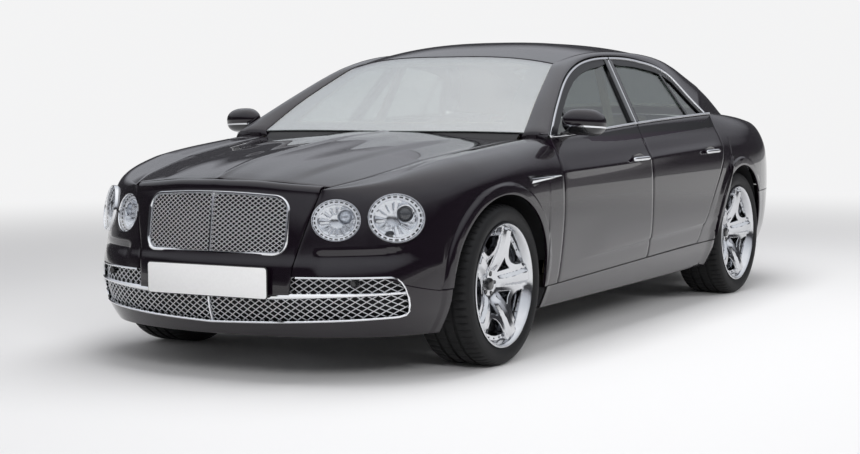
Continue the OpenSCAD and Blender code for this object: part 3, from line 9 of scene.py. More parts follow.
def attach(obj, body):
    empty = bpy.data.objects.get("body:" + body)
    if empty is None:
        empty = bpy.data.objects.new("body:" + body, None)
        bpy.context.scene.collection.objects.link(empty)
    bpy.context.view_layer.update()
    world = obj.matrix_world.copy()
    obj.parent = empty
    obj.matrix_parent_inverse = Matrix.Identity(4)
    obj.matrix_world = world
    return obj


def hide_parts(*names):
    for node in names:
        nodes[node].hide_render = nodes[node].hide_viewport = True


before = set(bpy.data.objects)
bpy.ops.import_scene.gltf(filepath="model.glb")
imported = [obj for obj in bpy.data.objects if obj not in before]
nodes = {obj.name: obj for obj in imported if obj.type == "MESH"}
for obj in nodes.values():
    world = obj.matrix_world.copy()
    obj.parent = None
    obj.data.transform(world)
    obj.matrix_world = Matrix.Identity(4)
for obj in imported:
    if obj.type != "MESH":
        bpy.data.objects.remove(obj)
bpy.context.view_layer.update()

# Studio
# A pale floor that fades into a pale wall, a wide soft box overhead and two large soft lamps.
# The camera stands at the front left corner, at the height of the bonnet.
scene = bpy.context.scene
scene.view_settings.view_transform = "Standard"
wall_white = (0.9, 0.9, 0.905, 1)


class Sock:
    """A socket of a node tree: sums of sockets add Math nodes, and node() adds any other kind."""

    def __init__(self, tree, socket=None):
        self.tree, self.socket = tree, socket

    def node(self, kind, settings={}, out=0, **values):
        made = self.tree.nodes.new(kind)
        for key, value in settings.items():
            if key == "stops":
                ramp = made.color_ramp.elements
                while len(ramp) < len(value):
                    ramp.new(0.5)
                for element, (place, colour) in zip(ramp, value):
                    element.position, element.color = place, colour
            else:
                setattr(made, key, value)
        for key, value in values.items():
            target = made.inputs[int(key[1:]) if key[1:].isdigit() else key.replace("_", " ")]
            if isinstance(value, Sock):
                self.tree.links.new(value.socket, target)
            else:
                target.default_value = value
        return Sock(self.tree, made.outputs[out])

    def into(self, node, key):
        self.tree.links.new(self.socket, node.inputs[key])

    def blend(self, share, a, b):
        """A colour between two others."""
        return self.node("ShaderNodeMix", {"data_type": "RGBA"}, out=2, i0=share, i6=a, i7=b)

    def where(self):
        return self.node("ShaderNodeTexCoord", out=3)

    def along_aside_up(self):
        """How far along, aside and up a point lies in the car."""
        spread = self.node("ShaderNodeSeparateXYZ", i0=self.where()).socket.node
        along, aside, up = (Sock(self.tree, spread.outputs[k]) for k in range(3))
        return along, self.math("ABSOLUTE", aside), up

    def math(self, operation, a, b=0.0):
        return self.node("ShaderNodeMath", {"operation": operation}, i0=a, i1=b)

    def __add__(self, other):
        return self.math("ADD", self, other)

    def __sub__(self, other):
        return self.math("SUBTRACT", self, other)

    def __mul__(self, other):
        return self.math("MULTIPLY", self, other)

    def __gt__(self, other):
        return self.math("GREATER_THAN", self, other)

    def __rsub__(self, other):
        return self.math("SUBTRACT", other, self)

    __radd__ = __add__
    __rmul__ = __mul__


def bare_tree(owner):
    """The emptied node tree of a material or a world."""
    owner.use_nodes = True
    owner.node_tree.nodes.clear()
    return Sock(owner.node_tree)


floor_r, fade_from, fade_to = 60, 3.4, 11.0
bpy.ops.mesh.primitive_circle_add(vertices=96, radius=floor_r, fill_type="NGON")
floor = bpy.context.object
floor.name = "studio_floor"
floor_mat = bpy.data.materials.new("floor_paper")
paper = bare_tree(floor_mat)
far = paper.node("ShaderNodeVectorMath", {"operation": "LENGTH"}, out=1, i0=paper.where())
fade = paper.node("ShaderNodeMapRange", {"interpolation_type": "SMOOTHSTEP"},
                  Value=far, From_Min=fade_from, From_Max=fade_to)
near_floor = paper.node("ShaderNodeBsdfDiffuse", Color=(0.74, 0.74, 0.745, 1))
far_floor = paper.node("ShaderNodeEmission", Color=wall_white)
whole_floor = paper.node("ShaderNodeMixShader", i0=fade, i1=near_floor, i2=far_floor)
whole_floor.into(paper.tree.nodes.new("ShaderNodeOutputMaterial"), "Surface")
floor.data.materials.append(floor_mat)

scene.world = bpy.data.worlds.new("studio_air")
air = bare_tree(scene.world)
rays = air.tree.nodes.new("ShaderNodeLightPath").outputs
seen = air.math("MAXIMUM", Sock(air.tree, rays["Is Camera Ray"]), Sock(air.tree, rays["Is Transmission Ray"]))
mirrored_ray = Sock(air.tree, rays["Is Glossy Ray"])
way_out = air.node("ShaderNodeTexCoord", out=0)
height = air.node("ShaderNodeSeparateXYZ", out=2, i0=way_out)
cloud = air.node("ShaderNodeTexNoise", Vector=way_out, Scale=2.2, Detail=4.0)
sky = air.node("ShaderNodeValToRGB", {"stops": [
    (0.0, (0.3, 0.3, 0.31, 1)), (0.04, (0.05, 0.05, 0.055, 1)), (0.2, (0.04, 0.04, 0.045, 1)),
    (0.32, (0.5, 0.51, 0.55, 1)), (0.55, (0.74, 0.77, 0.82, 1)), (1.0, (1.1, 1.11, 1.14, 1))]},
    i0=height + (cloud - 0.5) * height * 0.55)
soft, gloss, plain = (air.node("ShaderNodeBackground", Color=colour)
                      for colour in ((0.5, 0.5, 0.51, 1), sky, wall_white))
lit = air.node("ShaderNodeMixShader", i0=mirrored_ray, i1=soft, i2=gloss)
lit = air.node("ShaderNodeMixShader", i0=seen, i1=lit, i2=plain)
lit.into(air.tree.nodes.new("ShaderNodeOutputWorld"), 0)


def soft_lamp(name, place, aim, size, watts):
    bpy.ops.object.light_add(type="AREA", location=place)
    lamp = bpy.context.object
    lamp.name = name
    lamp.data.shape = "RECTANGLE"
    lamp.data.size, lamp.data.size_y = size
    lamp.data.energy = watts
    lamp.visible_glossy = False
    lamp.rotation_euler = (Vector(aim) - Vector(place)).to_track_quat("-Z", "Y").to_euler()


soft_lamp("overhead_box", (0.3, 0.4, 5.2), (0.3, 0.4, 0), (6.4, 2.6), 230)
soft_lamp("front_lamp", (7.5, 5.5, 4.6), (1.0, 0, 0.6), (3.5, 2.2), 260)
soft_lamp("side_lamp", (-3.5, 7.5, 4.2), (-0.6, 0, 0.6), (4.5, 1.6), 200)

camera_turn, camera_dip, camera_roll = (math.radians(a) for a in (29.567, 4.6606, -0.3825))
camera_place = (8.5871, 4.4713, 1.2532)
sensor_w, focal_pixels, photo_pixels = 36, 1734.45, 860
ahead = Vector((-math.cos(camera_dip) * math.cos(camera_turn), -math.cos(camera_dip) * math.sin(camera_turn),
                -math.sin(camera_dip)))
level = ahead.cross(Vector((0, 0, 1))).normalized()
above = level.cross(ahead)
sideways = level * math.cos(camera_roll) + above * math.sin(camera_roll)
above = above * math.cos(camera_roll) - level * math.sin(camera_roll)
bpy.ops.object.camera_add()
camera = bpy.context.object
camera.matrix_world = Matrix.Translation(camera_place) @ Matrix((sideways, above, -ahead)).transposed().to_4x4()
camera.data.sensor_width = sensor_w
camera.data.lens = sensor_w * focal_pixels / photo_pixels
scene.camera = camera

# Floor, bay structure and running gear
# Pressed and painted steel, cast iron and bare aluminium that show from below and past the wheels.
# They are the frame that all other pieces bolt to, and keep their solids.


def cover(name, colour, rough, metal=0.0, scale=60.0, tone=0.1, wear=0.06, bump=0.0, cells=False,
          **fixed):
    """A finish whose colour, gloss and relief vary with a fine grain."""
    material = bpy.data.materials.new(name)
    material.use_nodes = True
    shader = material.node_tree.nodes["Principled BSDF"]
    s = Sock(material.node_tree)
    grain = s.node("ShaderNodeTexVoronoi" if cells else "ShaderNodeTexNoise", Vector=s.where(), Scale=scale)
    low = tuple(c * (1 - tone) for c in colour) + (1,)
    high = tuple(min(1, c * (1 + tone)) for c in colour) + (1,)
    s.blend(grain, low, high).into(shader, "Base Color")
    (grain * wear + (rough - wear / 2)).into(shader, "Roughness")
    shader.inputs["Metallic"].default_value = metal
    for key, value in fixed.items():
        shader.inputs[key.replace("_", " ")].default_value = value
    if bump:
        s.node("ShaderNodeBump", Strength=0.5, Distance=bump, Height=grain).into(shader, "Normal")
    return material


def dress(node, material):
    """Gives a CAD node its finish."""
    data = nodes[node].data
    data.materials.clear()
    data.materials.append(material)


steel = cover("undercoat_steel", (0.03, 0.03, 0.032), 0.55, scale=45, bump=0.0008)
iron = cover("cast_iron", (0.14, 0.14, 0.145), 0.5, metal=0.8, scale=180, bump=0.0006)
alloy_cast = cover("cast_aluminium", (0.42, 0.42, 0.43), 0.42, metal=0.9, scale=140, bump=0.0004)
pipe = cover("exhaust_steel", (0.45, 0.43, 0.4), 0.3, metal=1.0, scale=30, tone=0.2)
fins = cover("radiator_black", (0.02, 0.02, 0.022), 0.5, metal=0.3, scale=220, bump=0.0006)
for node, material in (("floor_pan", steel), ("front_structure", steel), ("rear_shelf", steel),
                       ("engine", alloy_cast), ("radiator", fins), ("exhaust", pipe),
                       ("suspension", iron), ("front_left_knuckle", iron),
                       ("front_right_knuckle", iron)):
    dress(node, material)

# Body shell
# The painted upper body: front pillars, roof rails and rear pillars run into the roof in one sweep.
# Steel pressings, welded, under deep aubergine paint with a clear coat.
tall, half_l, half_w = 1.488, 2.648, 0.988
axle_f, axle_r, base = 1.722, -1.343, 3.065
tyre_r, arch_r = 0.363, 0.405
skin, gap, lean = 0.014, 0.005, 0.65


def curve(table, x):
    """Smooth curve through a table's points."""
    i = min(max(bisect_right([p[0] for p in table], x) - 1, 0), len(table) - 2)

    def slope(k):
        a, b = max(k - 1, 0), min(k + 1, len(table) - 1)
        return (table[b][1] - table[a][1]) / (table[b][0] - table[a][0])

    h = table[i + 1][0] - table[i][0]
    u = min(1.0, max(0.0, (x - table[i][0]) / h))
    return (table[i][1] * (2 * u**3 - 3 * u**2 + 1) + h * slope(i) * (u**3 - 2 * u**2 + u)
            + table[i + 1][1] * (3 * u**2 - 2 * u**3) + h * slope(i + 1) * (u**3 - u**2))


def mix(a, b, u):
    return a + (b - a) * u


def span(a, b, cells):
    """Evenly spaced values from one to another, both included."""
    return [mix(a, b, k / cells) for k in range(cells + 1)]


def circle(steps):
    """Angles once round."""
    return [2 * math.pi * k / steps for k in range(steps)]


def bow(p, corner, q, u):
    """A point on the curve from one end to the other, pulled to a corner."""
    return mix(mix(p, corner, u), mix(corner, q, u), u)


def clip(v):
    return min(1.0, max(0.0, v))


def ease(v):
    v = clip(v)
    return v * v * (3 - 2 * v)


side_shares = [(0.08, 0.86), (0.125, 0.905), (0.21, 0.958), (0.302, 0.982), (0.403, 0.997),
               (0.457, 1), (0.524, 0.998), (0.578, 0.986), (0.625, 0.957), (0.672, 0.921),
               (0.722, 0.892)]
nose_shares = [(0.1, 0.965), (0.151, 0.984), (0.202, 0.996), (0.252, 1), (0.336, 0.997),
               (0.366, 0.992), (0.47, 0.984), (0.548, 0.975), (0.575, 0.97), (0.605, 0.958)]
tail_shares = [(0.1, 0.945), (0.155, 0.967), (0.235, 0.993), (0.302, 1), (0.403, 0.997),
               (0.504, 0.99), (0.571, 0.985), (0.638, 0.979), (0.68, 0.972)]
nose_powers = [(0.15, 9.6), (0.235, 9.4), (0.464, 7.5), (0.58, 6.8)]
hood_shares = [(0.36, 0.696), (0.434, 0.692), (0.594, 0.67), (0.724, 0.6465), (0.845, 0.622),
               (0.9305, 0.595), (0.9724, 0.571)]
deck_shares = [(0.34, 0.746), (0.45, 0.741), (0.566, 0.733), (0.736, 0.7137), (0.869, 0.6956),
               (0.944, 0.68), (0.98, 0.668)]
roof_shares = [(-0.8, 0.672), (-0.74, 0.722), (-0.63, 0.821), (-0.513, 0.899), (-0.403, 0.959),
               (-0.264, 0.992), (-0.094, 1), (0, 0.997), (0.0755, 0.985), (0.151, 0.961),
               (0.2, 0.935), (0.31, 0.8226), (0.434, 0.692), (0.5, 0.622)]
crown_shares = [(0, 0), (0.2, 0.003), (0.4, 0.013), (0.6, 0.025), (0.68, 0.026), (0.76, 0.022),
                (0.84, 0.018), (1, 0.017)]
fall_shares = [(-0.742, 0.57), (-0.5, 0.85), (-0.34, 1), (0.165, 0.96), (0.313, 0.34),
               (0.42, 0.24), (0.45, 0.22)]
belt_shares = [(-0.491, 0.7258), (-0.3437, 0.7218), (0.026, 0.7016), (0.353, 0.6774),
               (0.45, 0.6754)]
window_shares = [(-0.3776, 0.729), (-0.3486, 0.783), (-0.2976, 0.884), (-0.1775, 0.931),
                 (-0.0246, 0.9409), (0.1091, 0.9214), (0.2145, 0.8716), (0.327, 0.7792),
                 (0.4343, 0.6774)]
sill_shares = [(-0.33, 0.2395), (-0.2, 0.2366), (0.023, 0.2285), (0.4475, 0.2103), (0.5, 0.21)]
bend_f, bend_r = half_l * 0.113, half_l * 0.227
knee_x, knee_r = half_l * 0.83, -half_l * 0.86
tail_power = 5.3
screen_base, screen_head = half_l * 0.4335, half_l * 0.189
screen_low_y, screen_high_y = half_w * 0.759, half_w * 0.597
tail_base, tail_head = -half_l * 0.742, -half_l * 0.43


def drawn(table, size, unit):
    """A curve of the body, from a table in shares of the car's size."""
    return lambda v: size * curve(table, v / unit)


section_y, nose_power = drawn(side_shares, half_w, tall), drawn(nose_powers, 1, tall)
nose_reach, tail_reach = drawn(nose_shares, half_l, tall), drawn(tail_shares, half_l, tall)
belt_z, window_z, sill_z = (drawn(table, tall, half_l) for table in (belt_shares, window_shares, sill_shares))


def plain_side(x, z):
    if x > 0:
        u = clip((x - bend_f) / (nose_reach(z) - bend_f)) ** nose_power(z)
    else:
        u = clip((-x - bend_r) / (tail_reach(z) - bend_r)) ** tail_power
    return section_y(z) * math.sqrt(max(0, 1 - u))


def nose_x(y, z):
    return (bend_f + (nose_reach(z) - bend_f)
            * max(0, 1 - (y / section_y(z)) ** 2) ** (1 / nose_power(z)))


def tail_x(y, z):
    return (-bend_r - (tail_reach(z) - bend_r)
            * max(0, 1 - (y / section_y(z)) ** 2) ** (1 / tail_power))


def top_z(x, y):
    share = curve(hood_shares, x / half_l) if x > 0 else curve(deck_shares, -x / half_l)
    gain = 1 + clip((x / half_l - 0.72) / 0.22)
    return tall * (share - curve(crown_shares, abs(y) / half_w) * gain)


def roof_z(x, y):
    fall = 0.057 * curve(fall_shares, x / half_l) * (abs(y) / (half_w * 0.68)) ** 2.6
    return tall * (curve(roof_shares, x / half_l) - fall)


def glass_y(x, z):
    return plain_side(x, belt_z(x)) - (z - belt_z(x)) * lean


def screen_point(u, v):
    y = u * mix(screen_low_y, screen_high_y, v)
    low = screen_base - half_l * 0.0144 * (y / screen_low_y) ** 2
    high = screen_head - half_l * 0.02 * (y / screen_high_y) ** 2
    x = mix(low, high, v)
    return (x, y, roof_z(x, y))


def roof_point(u, v):
    y = u * screen_high_y
    front = screen_head - half_l * 0.02 * (y / screen_high_y) ** 2 - gap
    back = tail_head + half_l * 0.02 * (y / screen_high_y) ** 2 + gap
    x = mix(front, back, v)
    return (x, y, roof_z(x, y))


def tail_window_point(u, v):
    y = u * mix(screen_high_y, half_w * 0.62, v)
    x = mix(tail_head + half_l * 0.02 * (y / screen_high_y) ** 2, tail_base, v)
    return (x, y, roof_z(x, y))


def deck_edge(x):
    """Half-width of the boot opening, from the foot of the rear pillar back."""
    return half_w * mix(0.862, 0.657, clip((-x - half_l * 0.39) / (half_l * 0.35)))


def only(piece):
    """Makes a piece the one that is selected and active."""
    bpy.ops.object.select_all(action="DESELECT")
    piece.select_set(True)
    bpy.context.view_layer.objects.active = piece


def smooth(degrees):
    bpy.ops.object.shade_smooth_by_angle(angle=math.radians(degrees))


def sheet(name, rows, material):
    """A new mesh from rows of points."""
    bpy.ops.mesh.primitive_grid_add(x_subdivisions=len(rows[0]) - 1, y_subdivisions=len(rows) - 1)
    made = bpy.context.object
    only(made)
    made.name = made.data.name = name
    made.data.vertices.foreach_set("co", np.array(rows, np.float32).ravel())
    made.data.update()
    made.data.materials.append(material)
    return made


def close_up(weld=0.0, fill=False, face_out=True):
    """Welds the active mesh, closes its ends and turns its faces outward."""
    bpy.ops.object.mode_set(mode="EDIT")
    bpy.ops.mesh.select_all(action="SELECT")
    if weld:
        bpy.ops.mesh.remove_doubles(threshold=weld)
    if fill:
        bpy.ops.mesh.fill_holes(sides=0)
    bpy.ops.mesh.select_all(action="SELECT")
    if face_out:
        bpy.ops.mesh.normals_make_consistent(inside=False)
    bpy.ops.object.mode_set(mode="OBJECT")


def solid_of(name, verts, faces, material, smooth_to):
    """A closed mesh from its points and faces."""
    data = bpy.data.meshes.new(name)
    data.from_pydata(verts, [], faces)
    data.materials.append(material)
    made = bpy.data.objects.new(name, data)
    scene.collection.objects.link(made)
    only(made)
    close_up()
    smooth(smooth_to)
    return made


def press(name, rows, material, thick=0.011, round_edge=0.002):
    """A panel: a grid pulled to the body's lines, given its thickness and rounded edges."""
    panel = sheet(name, rows, material)
    middle = np.array([f.center for f in panel.data.polygons])
    out = np.array([f.normal for f in panel.data.polygons])
    axis = np.stack([np.clip(middle[:, 0], -0.9, 0.9), middle[:, 1] * 0.2, np.full(len(middle), 0.5)], 1)
    if ((middle - axis) * out).sum() < 0:
        panel.data.flip_normals()
    if thick:
        wall = panel.modifiers.new("wall", "SOLIDIFY")
        wall.thickness, wall.offset = thick, -1
        wall.use_even_offset = False
        bpy.ops.object.modifier_apply(modifier="wall")
    if round_edge:
        edge = panel.modifiers.new("edge", "BEVEL")
        edge.width, edge.segments, edge.limit_method = round_edge, 2, "ANGLE"
        edge.angle_limit = math.radians(50)
        bpy.ops.object.modifier_apply(modifier="edge")
    smooth(38)
    return panel


def placed(piece, name, scale, shift=(0, 0, 0)):
    """A copy of a piece, scaled and then moved."""
    twin = piece.copy()
    twin.data = piece.data.copy()
    twin.name = twin.data.name = name
    scene.collection.objects.link(twin)
    points = np.zeros(len(twin.data.vertices) * 3, np.float32)
    twin.data.vertices.foreach_get("co", points)
    points = points.reshape(-1, 3) * scale + shift
    twin.data.vertices.foreach_set("co", points.astype(np.float32).ravel())
    if scale[1] < 0:
        twin.data.flip_normals()
    twin.data.update()
    return twin


def other_side(piece, name):
    """The same piece on the right of the car."""
    return placed(piece, name, (1, -1, 1))


def joined(name, pieces):
    """Several meshes made one object."""
    bpy.ops.object.select_all(action="DESELECT")
    for piece in pieces:
        piece.select_set(True)
    bpy.context.view_layer.objects.active = pieces[0]
    if len(pieces) > 1:
        bpy.ops.object.join()
    whole = bpy.context.object
    whole.name = whole.data.name = name
    return whole


def fit_in(piece, body, slot, *stands_for):
    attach(piece, body)
    if stands_for:
        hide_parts(*stands_for)
    return piece


def both(name, piece):
    """A piece and its twin on the right, as one object."""
    return joined(name, [piece, other_side(piece, name + "_right")])


def on_leaves(piece, end, label, slot, *stands_for):
    """Fits a piece of a door, and its twin, to the two leaves at one end of the cabin."""
    twin = other_side(piece, end + "_right_" + label)
    piece.name = piece.data.name = end + "_left_" + label
    for one, leaf in ((piece, end + "_left"), (twin, end + "_right")):
        fit_in(one, leaf + "_leaf", slot, *(leaf + "_" + node for node in stands_for))


def bezier(p, u):
    a, b, c, d = (np.array(q) for q in p)
    w = 1 - u
    return a * w**3 + 3 * b * u * w * w + 3 * c * u * u * w + d * u**3


paint = cover("aubergine_paint", (0.0062, 0.0034, 0.0066), 0.36, metal=0.2, scale=2600, tone=0.5,
              wear=0.1, cells=True, Coat_Weight=1.0, Coat_Roughness=0.012, Coat_IOR=1.58,
              Specular_IOR_Level=0.05)


def band_foot(x):
    z = window_z(x) + gap * 1.2
    return (x, glass_y(x, z), z)


def band_column(foot, edge, slide, cells=14):
    """Section of a pillar: up from the window line and over into the screen or the roof."""
    foot, edge = np.array(foot), np.array(edge)
    reach = np.linalg.norm(edge - foot)
    swell, pull = np.array((0, 1, 1)) * 0.0145, 0.3
    along = (edge - foot) * pull
    past = np.maximum(edge + np.array(slide) * reach * pull, edge - along + swell)
    near_edge = past * (0, 1, 1) + (edge - along) * (1, 0, 0)
    return [bezier((foot, foot + along + swell, near_edge, edge), u) for u in span(0, 1, cells)]


def edge_slide(point, u, v):
    """Direction in which a screen or the roof runs on past its side edge."""
    a, b = np.array(point(u, v)), np.array(point(u - 0.06, v))
    d = a - b
    return d / np.linalg.norm(d)


pillar_foot, pillar_head = 1.150 - gap, half_l * 0.165
rail_end, rear_corner = -half_l * 0.31, -half_l * 0.372
rail_stations = [(band_foot(mix(pillar_foot, pillar_head, v)), screen_point, v) for v in span(0, 1, 20)]
rail_stations += [(band_foot(mix(pillar_head, rail_end, v)), roof_point, v) for v in span(0, 1, 24)[1:]]
rail_stations += [(band_foot(mix(rail_end, rear_corner, v)), tail_window_point, v * 0.4)
                  for v in span(0, 1, 8)[1:]]
for v in span(0, 1, 16)[1:]:
    x = mix(rear_corner - skin * 3, tail_base + half_l * 0.05, v)
    foot = (x, deck_edge(x) - gap * 0.4, top_z(x, deck_edge(x)) + gap * 0.4)
    rail_stations.append((foot, tail_window_point, mix(0.4, 1.0, v)))
roof_lift = 0.003
rail_rows = [band_column(foot, np.array(point(1, v)) + (0, gap * 0.4, roof_lift), edge_slide(point, 1, v))
             for foot, point, v in rail_stations]
pillar_skirt = [[np.array(q) + drop for q in rail_rows[0]]
                for drop in ((0.008, -0.014, -0.034), (0.005, -0.003, -0.007))]
rail = press("roof_rail", pillar_skirt + rail_rows, paint, thick=0.006, round_edge=0.0015)
roof_skin = press("roof_panel", [
    [np.array(roof_point(u, v)) + (0, 0, roof_lift) for u in span(-1.004, 1.004, 40)]
    for v in span(-0.004, 1.004, 44)], paint, thick=0.006, round_edge=0.0)
roof = joined("roof_shell", [roof_skin, rail, other_side(rail, "roof_rail_right")])
fit_in(roof, "car", "paint", "roof")
cabin_trim = cover("cabin_trim", (0.62, 0.55, 0.42), 0.6, scale=400, bump=0.0004)
shader = cabin_trim.node_tree.nodes["Principled BSDF"]
s = Sock(cabin_trim.node_tree)
along_x, aside, up_z = s.along_aside_up()
outer = aside + up_z * lean > 0.872 + lean
cowl = (along_x > 0.98) * (1.06 - up_z > 0)
hide_tone = Sock(s.tree, shader.inputs["Base Color"].links[0].from_socket)
shade = s.blend(s.math("MAXIMUM", outer, cowl), hide_tone, (0.0075, 0.0042, 0.008, 1))
shade.into(shader, "Base Color")
(0.6 - outer * 0.42).into(shader, "Roughness")
dress("cabin_frame", cabin_trim)

# Front wings
# Steel pressings from the doors round to the lamps, with a raised lip along the wheel arch.
# Bolted along the bay rails; the lamps sit in two oval holes.
door_front = axle_f - base * 0.1866
door_split = axle_f - base * 0.5423
hood_front_y = 0.49
hood_edge_shares = [(0.36, 0.765), (0.405, 0.749), (0.5865, 0.698), (0.73, 0.648), (0.86, 0.585),
                    (0.925, 0.52), (0.947, 0.494)]
bumper_top, bumper_side_top, lip_z = tall * 0.309, tall * 0.262, tall * 0.131
shoulder = tall * 0.072
lip_in, lip_out = 0.446, 0.458
step_h, crease_h = 0.014, 0.045
crease_line = [(-1.03, 0.892), (-0.2, 0.872), (0.3, 0.856), (0.757, 0.848), (1.15, 0.843),
               (1.45, 0.834)]


hood_y = drawn(hood_edge_shares, half_w, half_l)


def arch_far(x, z):
    """Distance from the nearer axle, straight down below its height."""
    axle = axle_f if x > 0.2 else axle_r
    return math.hypot(x - axle, max(0, z - tyre_r))


def step_z(x):
    """Height of the step above the sill."""
    return mix(0.399, 0.459, (0.889 - x) / 1.804)


def relief(x, z):
    """Arch lip, the crease along the doors and the step above the sill."""
    lip = 0.009 * (1 - ease((arch_far(x, z) - lip_in) / (lip_out - lip_in)))
    off = abs(z - curve(crease_line, x))
    ridge = 0.006 * max(0, 1 - off / crease_h) ** 1.6 * ease((1.25 - x) / 0.2) * ease((x + 1.15) / 0.25)
    rise = z - step_z(x)
    step = (0.006 * ease(rise / step_h) * (1 - ease((rise - 0.04) / 0.2))
            * ease((1.0 - x) / 0.4) * ease((x + 0.98) / 0.1))
    return lip + ridge + step


def side_y(x, z):
    return plain_side(x, z) + relief(x, z)


def lamp_step(y, z):
    """Inward step of the front below the crease under the lamps."""
    line = curve([(0.43, 0.563), (0.63, 0.567), (0.745, 0.571), (0.807, 0.589), (0.835, 0.615),
                  (0.87, 0.68)], abs(y))
    d = line - z
    return 0.010 * ease(d / 0.016) * (1 - ease((d - 0.025) / 0.085)) * ease((0.83 - abs(y)) / 0.07)


def front_x(y, z):
    return nose_x(y, z) - lamp_step(y, z) * ease((abs(y) - hood_front_y) / 0.02)


def nose_edge(z):
    """Half-width of the nose panel, which narrows towards the bumper."""
    return curve([(0.398, 0.396), (0.528, 0.41), (0.664, 0.446), (0.803, 0.487)], z)


def front_point(station, z, middle=False):
    kind, s = station
    if kind == 0:
        return np.array((s, side_y(s, z), z))
    y = mix(0 if middle else nose_edge(z) + gap * 0.5, plain_side(knee_x, z), s)
    return np.array((front_x(y, z), y, z))


def rows_between(place, z_low, z_high, cells):
    """Heights up a side, with rows along both edges of the arch lip."""
    breaks = []
    for radius in (lip_in, lip_out):
        z, far_off = z_low, 0
        while z < z_high and far_off < radius:
            z += 0.002
            x = place(z)
            far_off = arch_far(x, z) if z > tyre_r else 9
        breaks.append(min(z, z_high - 0.05))
    b1, b2 = breaks[0], max(breaks[1], breaks[0] + 0.003)
    return span(z_low, b1, 3) + [(b1 + b2) / 2] + span(b2, z_high, cells)[:-1]


def column(point, z_low, head, place, cells=22, turns=12, turn=shoulder):
    """Points up the side, over the shoulder and in to a top edge."""
    top = top_z(*head)
    z1 = top - turn
    p1, p0 = point(z1), point(z1 - gap)
    corner = np.array((p1[0], p1[1], top)) + (p1 - p0) * (turn / gap) - (0, 0, turn)
    inward = mix(corner[:2], np.array(head), 0.5)
    q = np.array((inward[0], inward[1], top_z(*inward)))
    rows = [point(z) for z in rows_between(place, z_low, z1, cells)]
    rows += [bow(p1, corner, q, u) for u in span(0, 1, turns)]
    for u in (0.34, 0.67, 1.0):
        xy = mix(inward, np.array(head), u)
        rows.append(np.array((xy[0], xy[1], top_z(*xy))))
    return rows


def wing_low(x):
    if x < axle_f - arch_r:
        return sill_z(x)
    return max(tyre_r + math.sqrt(max(0, arch_r**2 - (x - axle_f) ** 2)), bumper_side_top)


wing_rear = door_front + gap * 0.8
wing_columns = []
lip_start, arch_start = axle_f - lip_out, axle_f - arch_r
for x in (span(wing_rear, lip_start, 6)[:-1] + span(lip_start, arch_start, 4)[:-1]
          + [axle_f - arch_r * math.cos(a) for a in span(0, math.pi, 48)]
          + span(axle_f + arch_r, knee_x, 4)[1:-1]):
    wing_columns.append(column(lambda z: front_point((0, x), z), wing_low(x),
                               (x, hood_y(x) + gap * 0.4), lambda z: x,
                               turn=mix(0.06, shoulder, ease((x - wing_rear) / 0.8))))
for u in span(0, 1, 32):
    x = mix(knee_x, half_l * 0.9435, u)
    low = mix(bumper_side_top, bumper_top, min(1, u * 3)) - 0.002
    wing_columns.append(column(lambda z: front_point((1, 1 - u), z), low,
                               (x, hood_y(x) + gap * 0.4), lambda z: half_l))
wing = press("front_wing", wing_columns, paint)

lamp_r, lamp_small, lamp_wide, lamp_dip = half_w * 0.108, 0.86, 1.17, math.radians(-11)
lamp_places = [
    (Matrix.Translation((half_l * x, half_w * y, tall * z)) @ Matrix.Rotation(math.radians(toe), 4, "Z")
     @ Matrix.Rotation(lamp_dip, 4, "Y"), lamp_r * size)
    for x, y, z, toe, size in ((0.8856, 0.777, 0.47, 40, 1), (0.935, 0.559, 0.465, 27, lamp_small))]


def lathe(name, profile, place, material, wide=1.0, steps=96):
    """A turned piece: a profile of radius and height, spun about the local X axis."""
    turned = sheet(name, [[place @ Vector((h, r * wide * math.cos(a), r * math.sin(a))) for r, h in profile]
                          for a in span(0, 2 * math.pi, steps)], material)
    close_up(weld=1e-5)
    smooth(32)
    return turned


def oval_cutter(place, r, deep):
    return lathe("hole", [(0, -deep), (r, -deep), (r, deep), (0, deep)], place, paint, wide=lamp_wide, steps=64)


def carve(piece, cutters):
    """Cuts holes through a piece and clears the cutters away."""
    for cutter in cutters:
        only(piece)
        hole = piece.modifiers.new("hole", "BOOLEAN")
        hole.operation, hole.solver, hole.object = "DIFFERENCE", "EXACT", cutter
        bpy.ops.object.modifier_apply(modifier="hole")
        bpy.data.objects.remove(cutter)
    smooth(38)
    while len(piece.data.materials) > 1:
        piece.data.materials.pop()


carve(wing, [oval_cutter(place, r, 0.14) for place, r in lamp_places])
fit_in(both("front_wing_pair", wing), "car", "paint", "front_wings")

# Bonnet
# One large pressing with a fine ridge down the middle and a soft shoulder on each side of it.
# Hinged at the rear edge, it meets the nose panel in front of the lamps.
hood_rear = half_l * 0.372


def hood_front_x(y):
    return nose_x(y, tall * 0.56) - skin * 2.5


def hood_rear_x(y):
    return screen_base - half_l * 0.0144 * (y / screen_low_y) ** 2 + gap * 2.2


def hood_point(u, v):
    y0 = u * mix(hood_y(hood_rear) - gap, hood_front_y, v)
    x = mix(hood_rear_x(y0), hood_front_x(y0), v**0.85)
    y = u * (hood_y(x) - gap * 0.5)
    wide = mix(0.5, 0.36, v)
    ridge = 0.005 * max(0, 1 - abs(y) / 0.028) ** 1.3
    swell = 0.010 * (1 - ease((abs(y) - wide + 0.05) / 0.05)) * ease(v / 0.25) * ease((1.04 - v) / 0.3)
    hollow = 0.006 * math.exp(-((abs(y) / wide - 0.45) / 0.2) ** 2) * ease(v / 0.3)
    return (x, y, top_z(x, y) + ridge + swell - hollow)


across = sorted({round(s * u, 4) for s in (-1, 1) for u in
                 [0, 0.02, 0.04, 0.06] + [k / 40 for k in range(3, 41)]})
hood = press("bonnet", [[hood_point(u, v) for u in across] for v in span(0, 1, 60)], paint)
fit_in(hood, "bonnet", "paint", "hood")

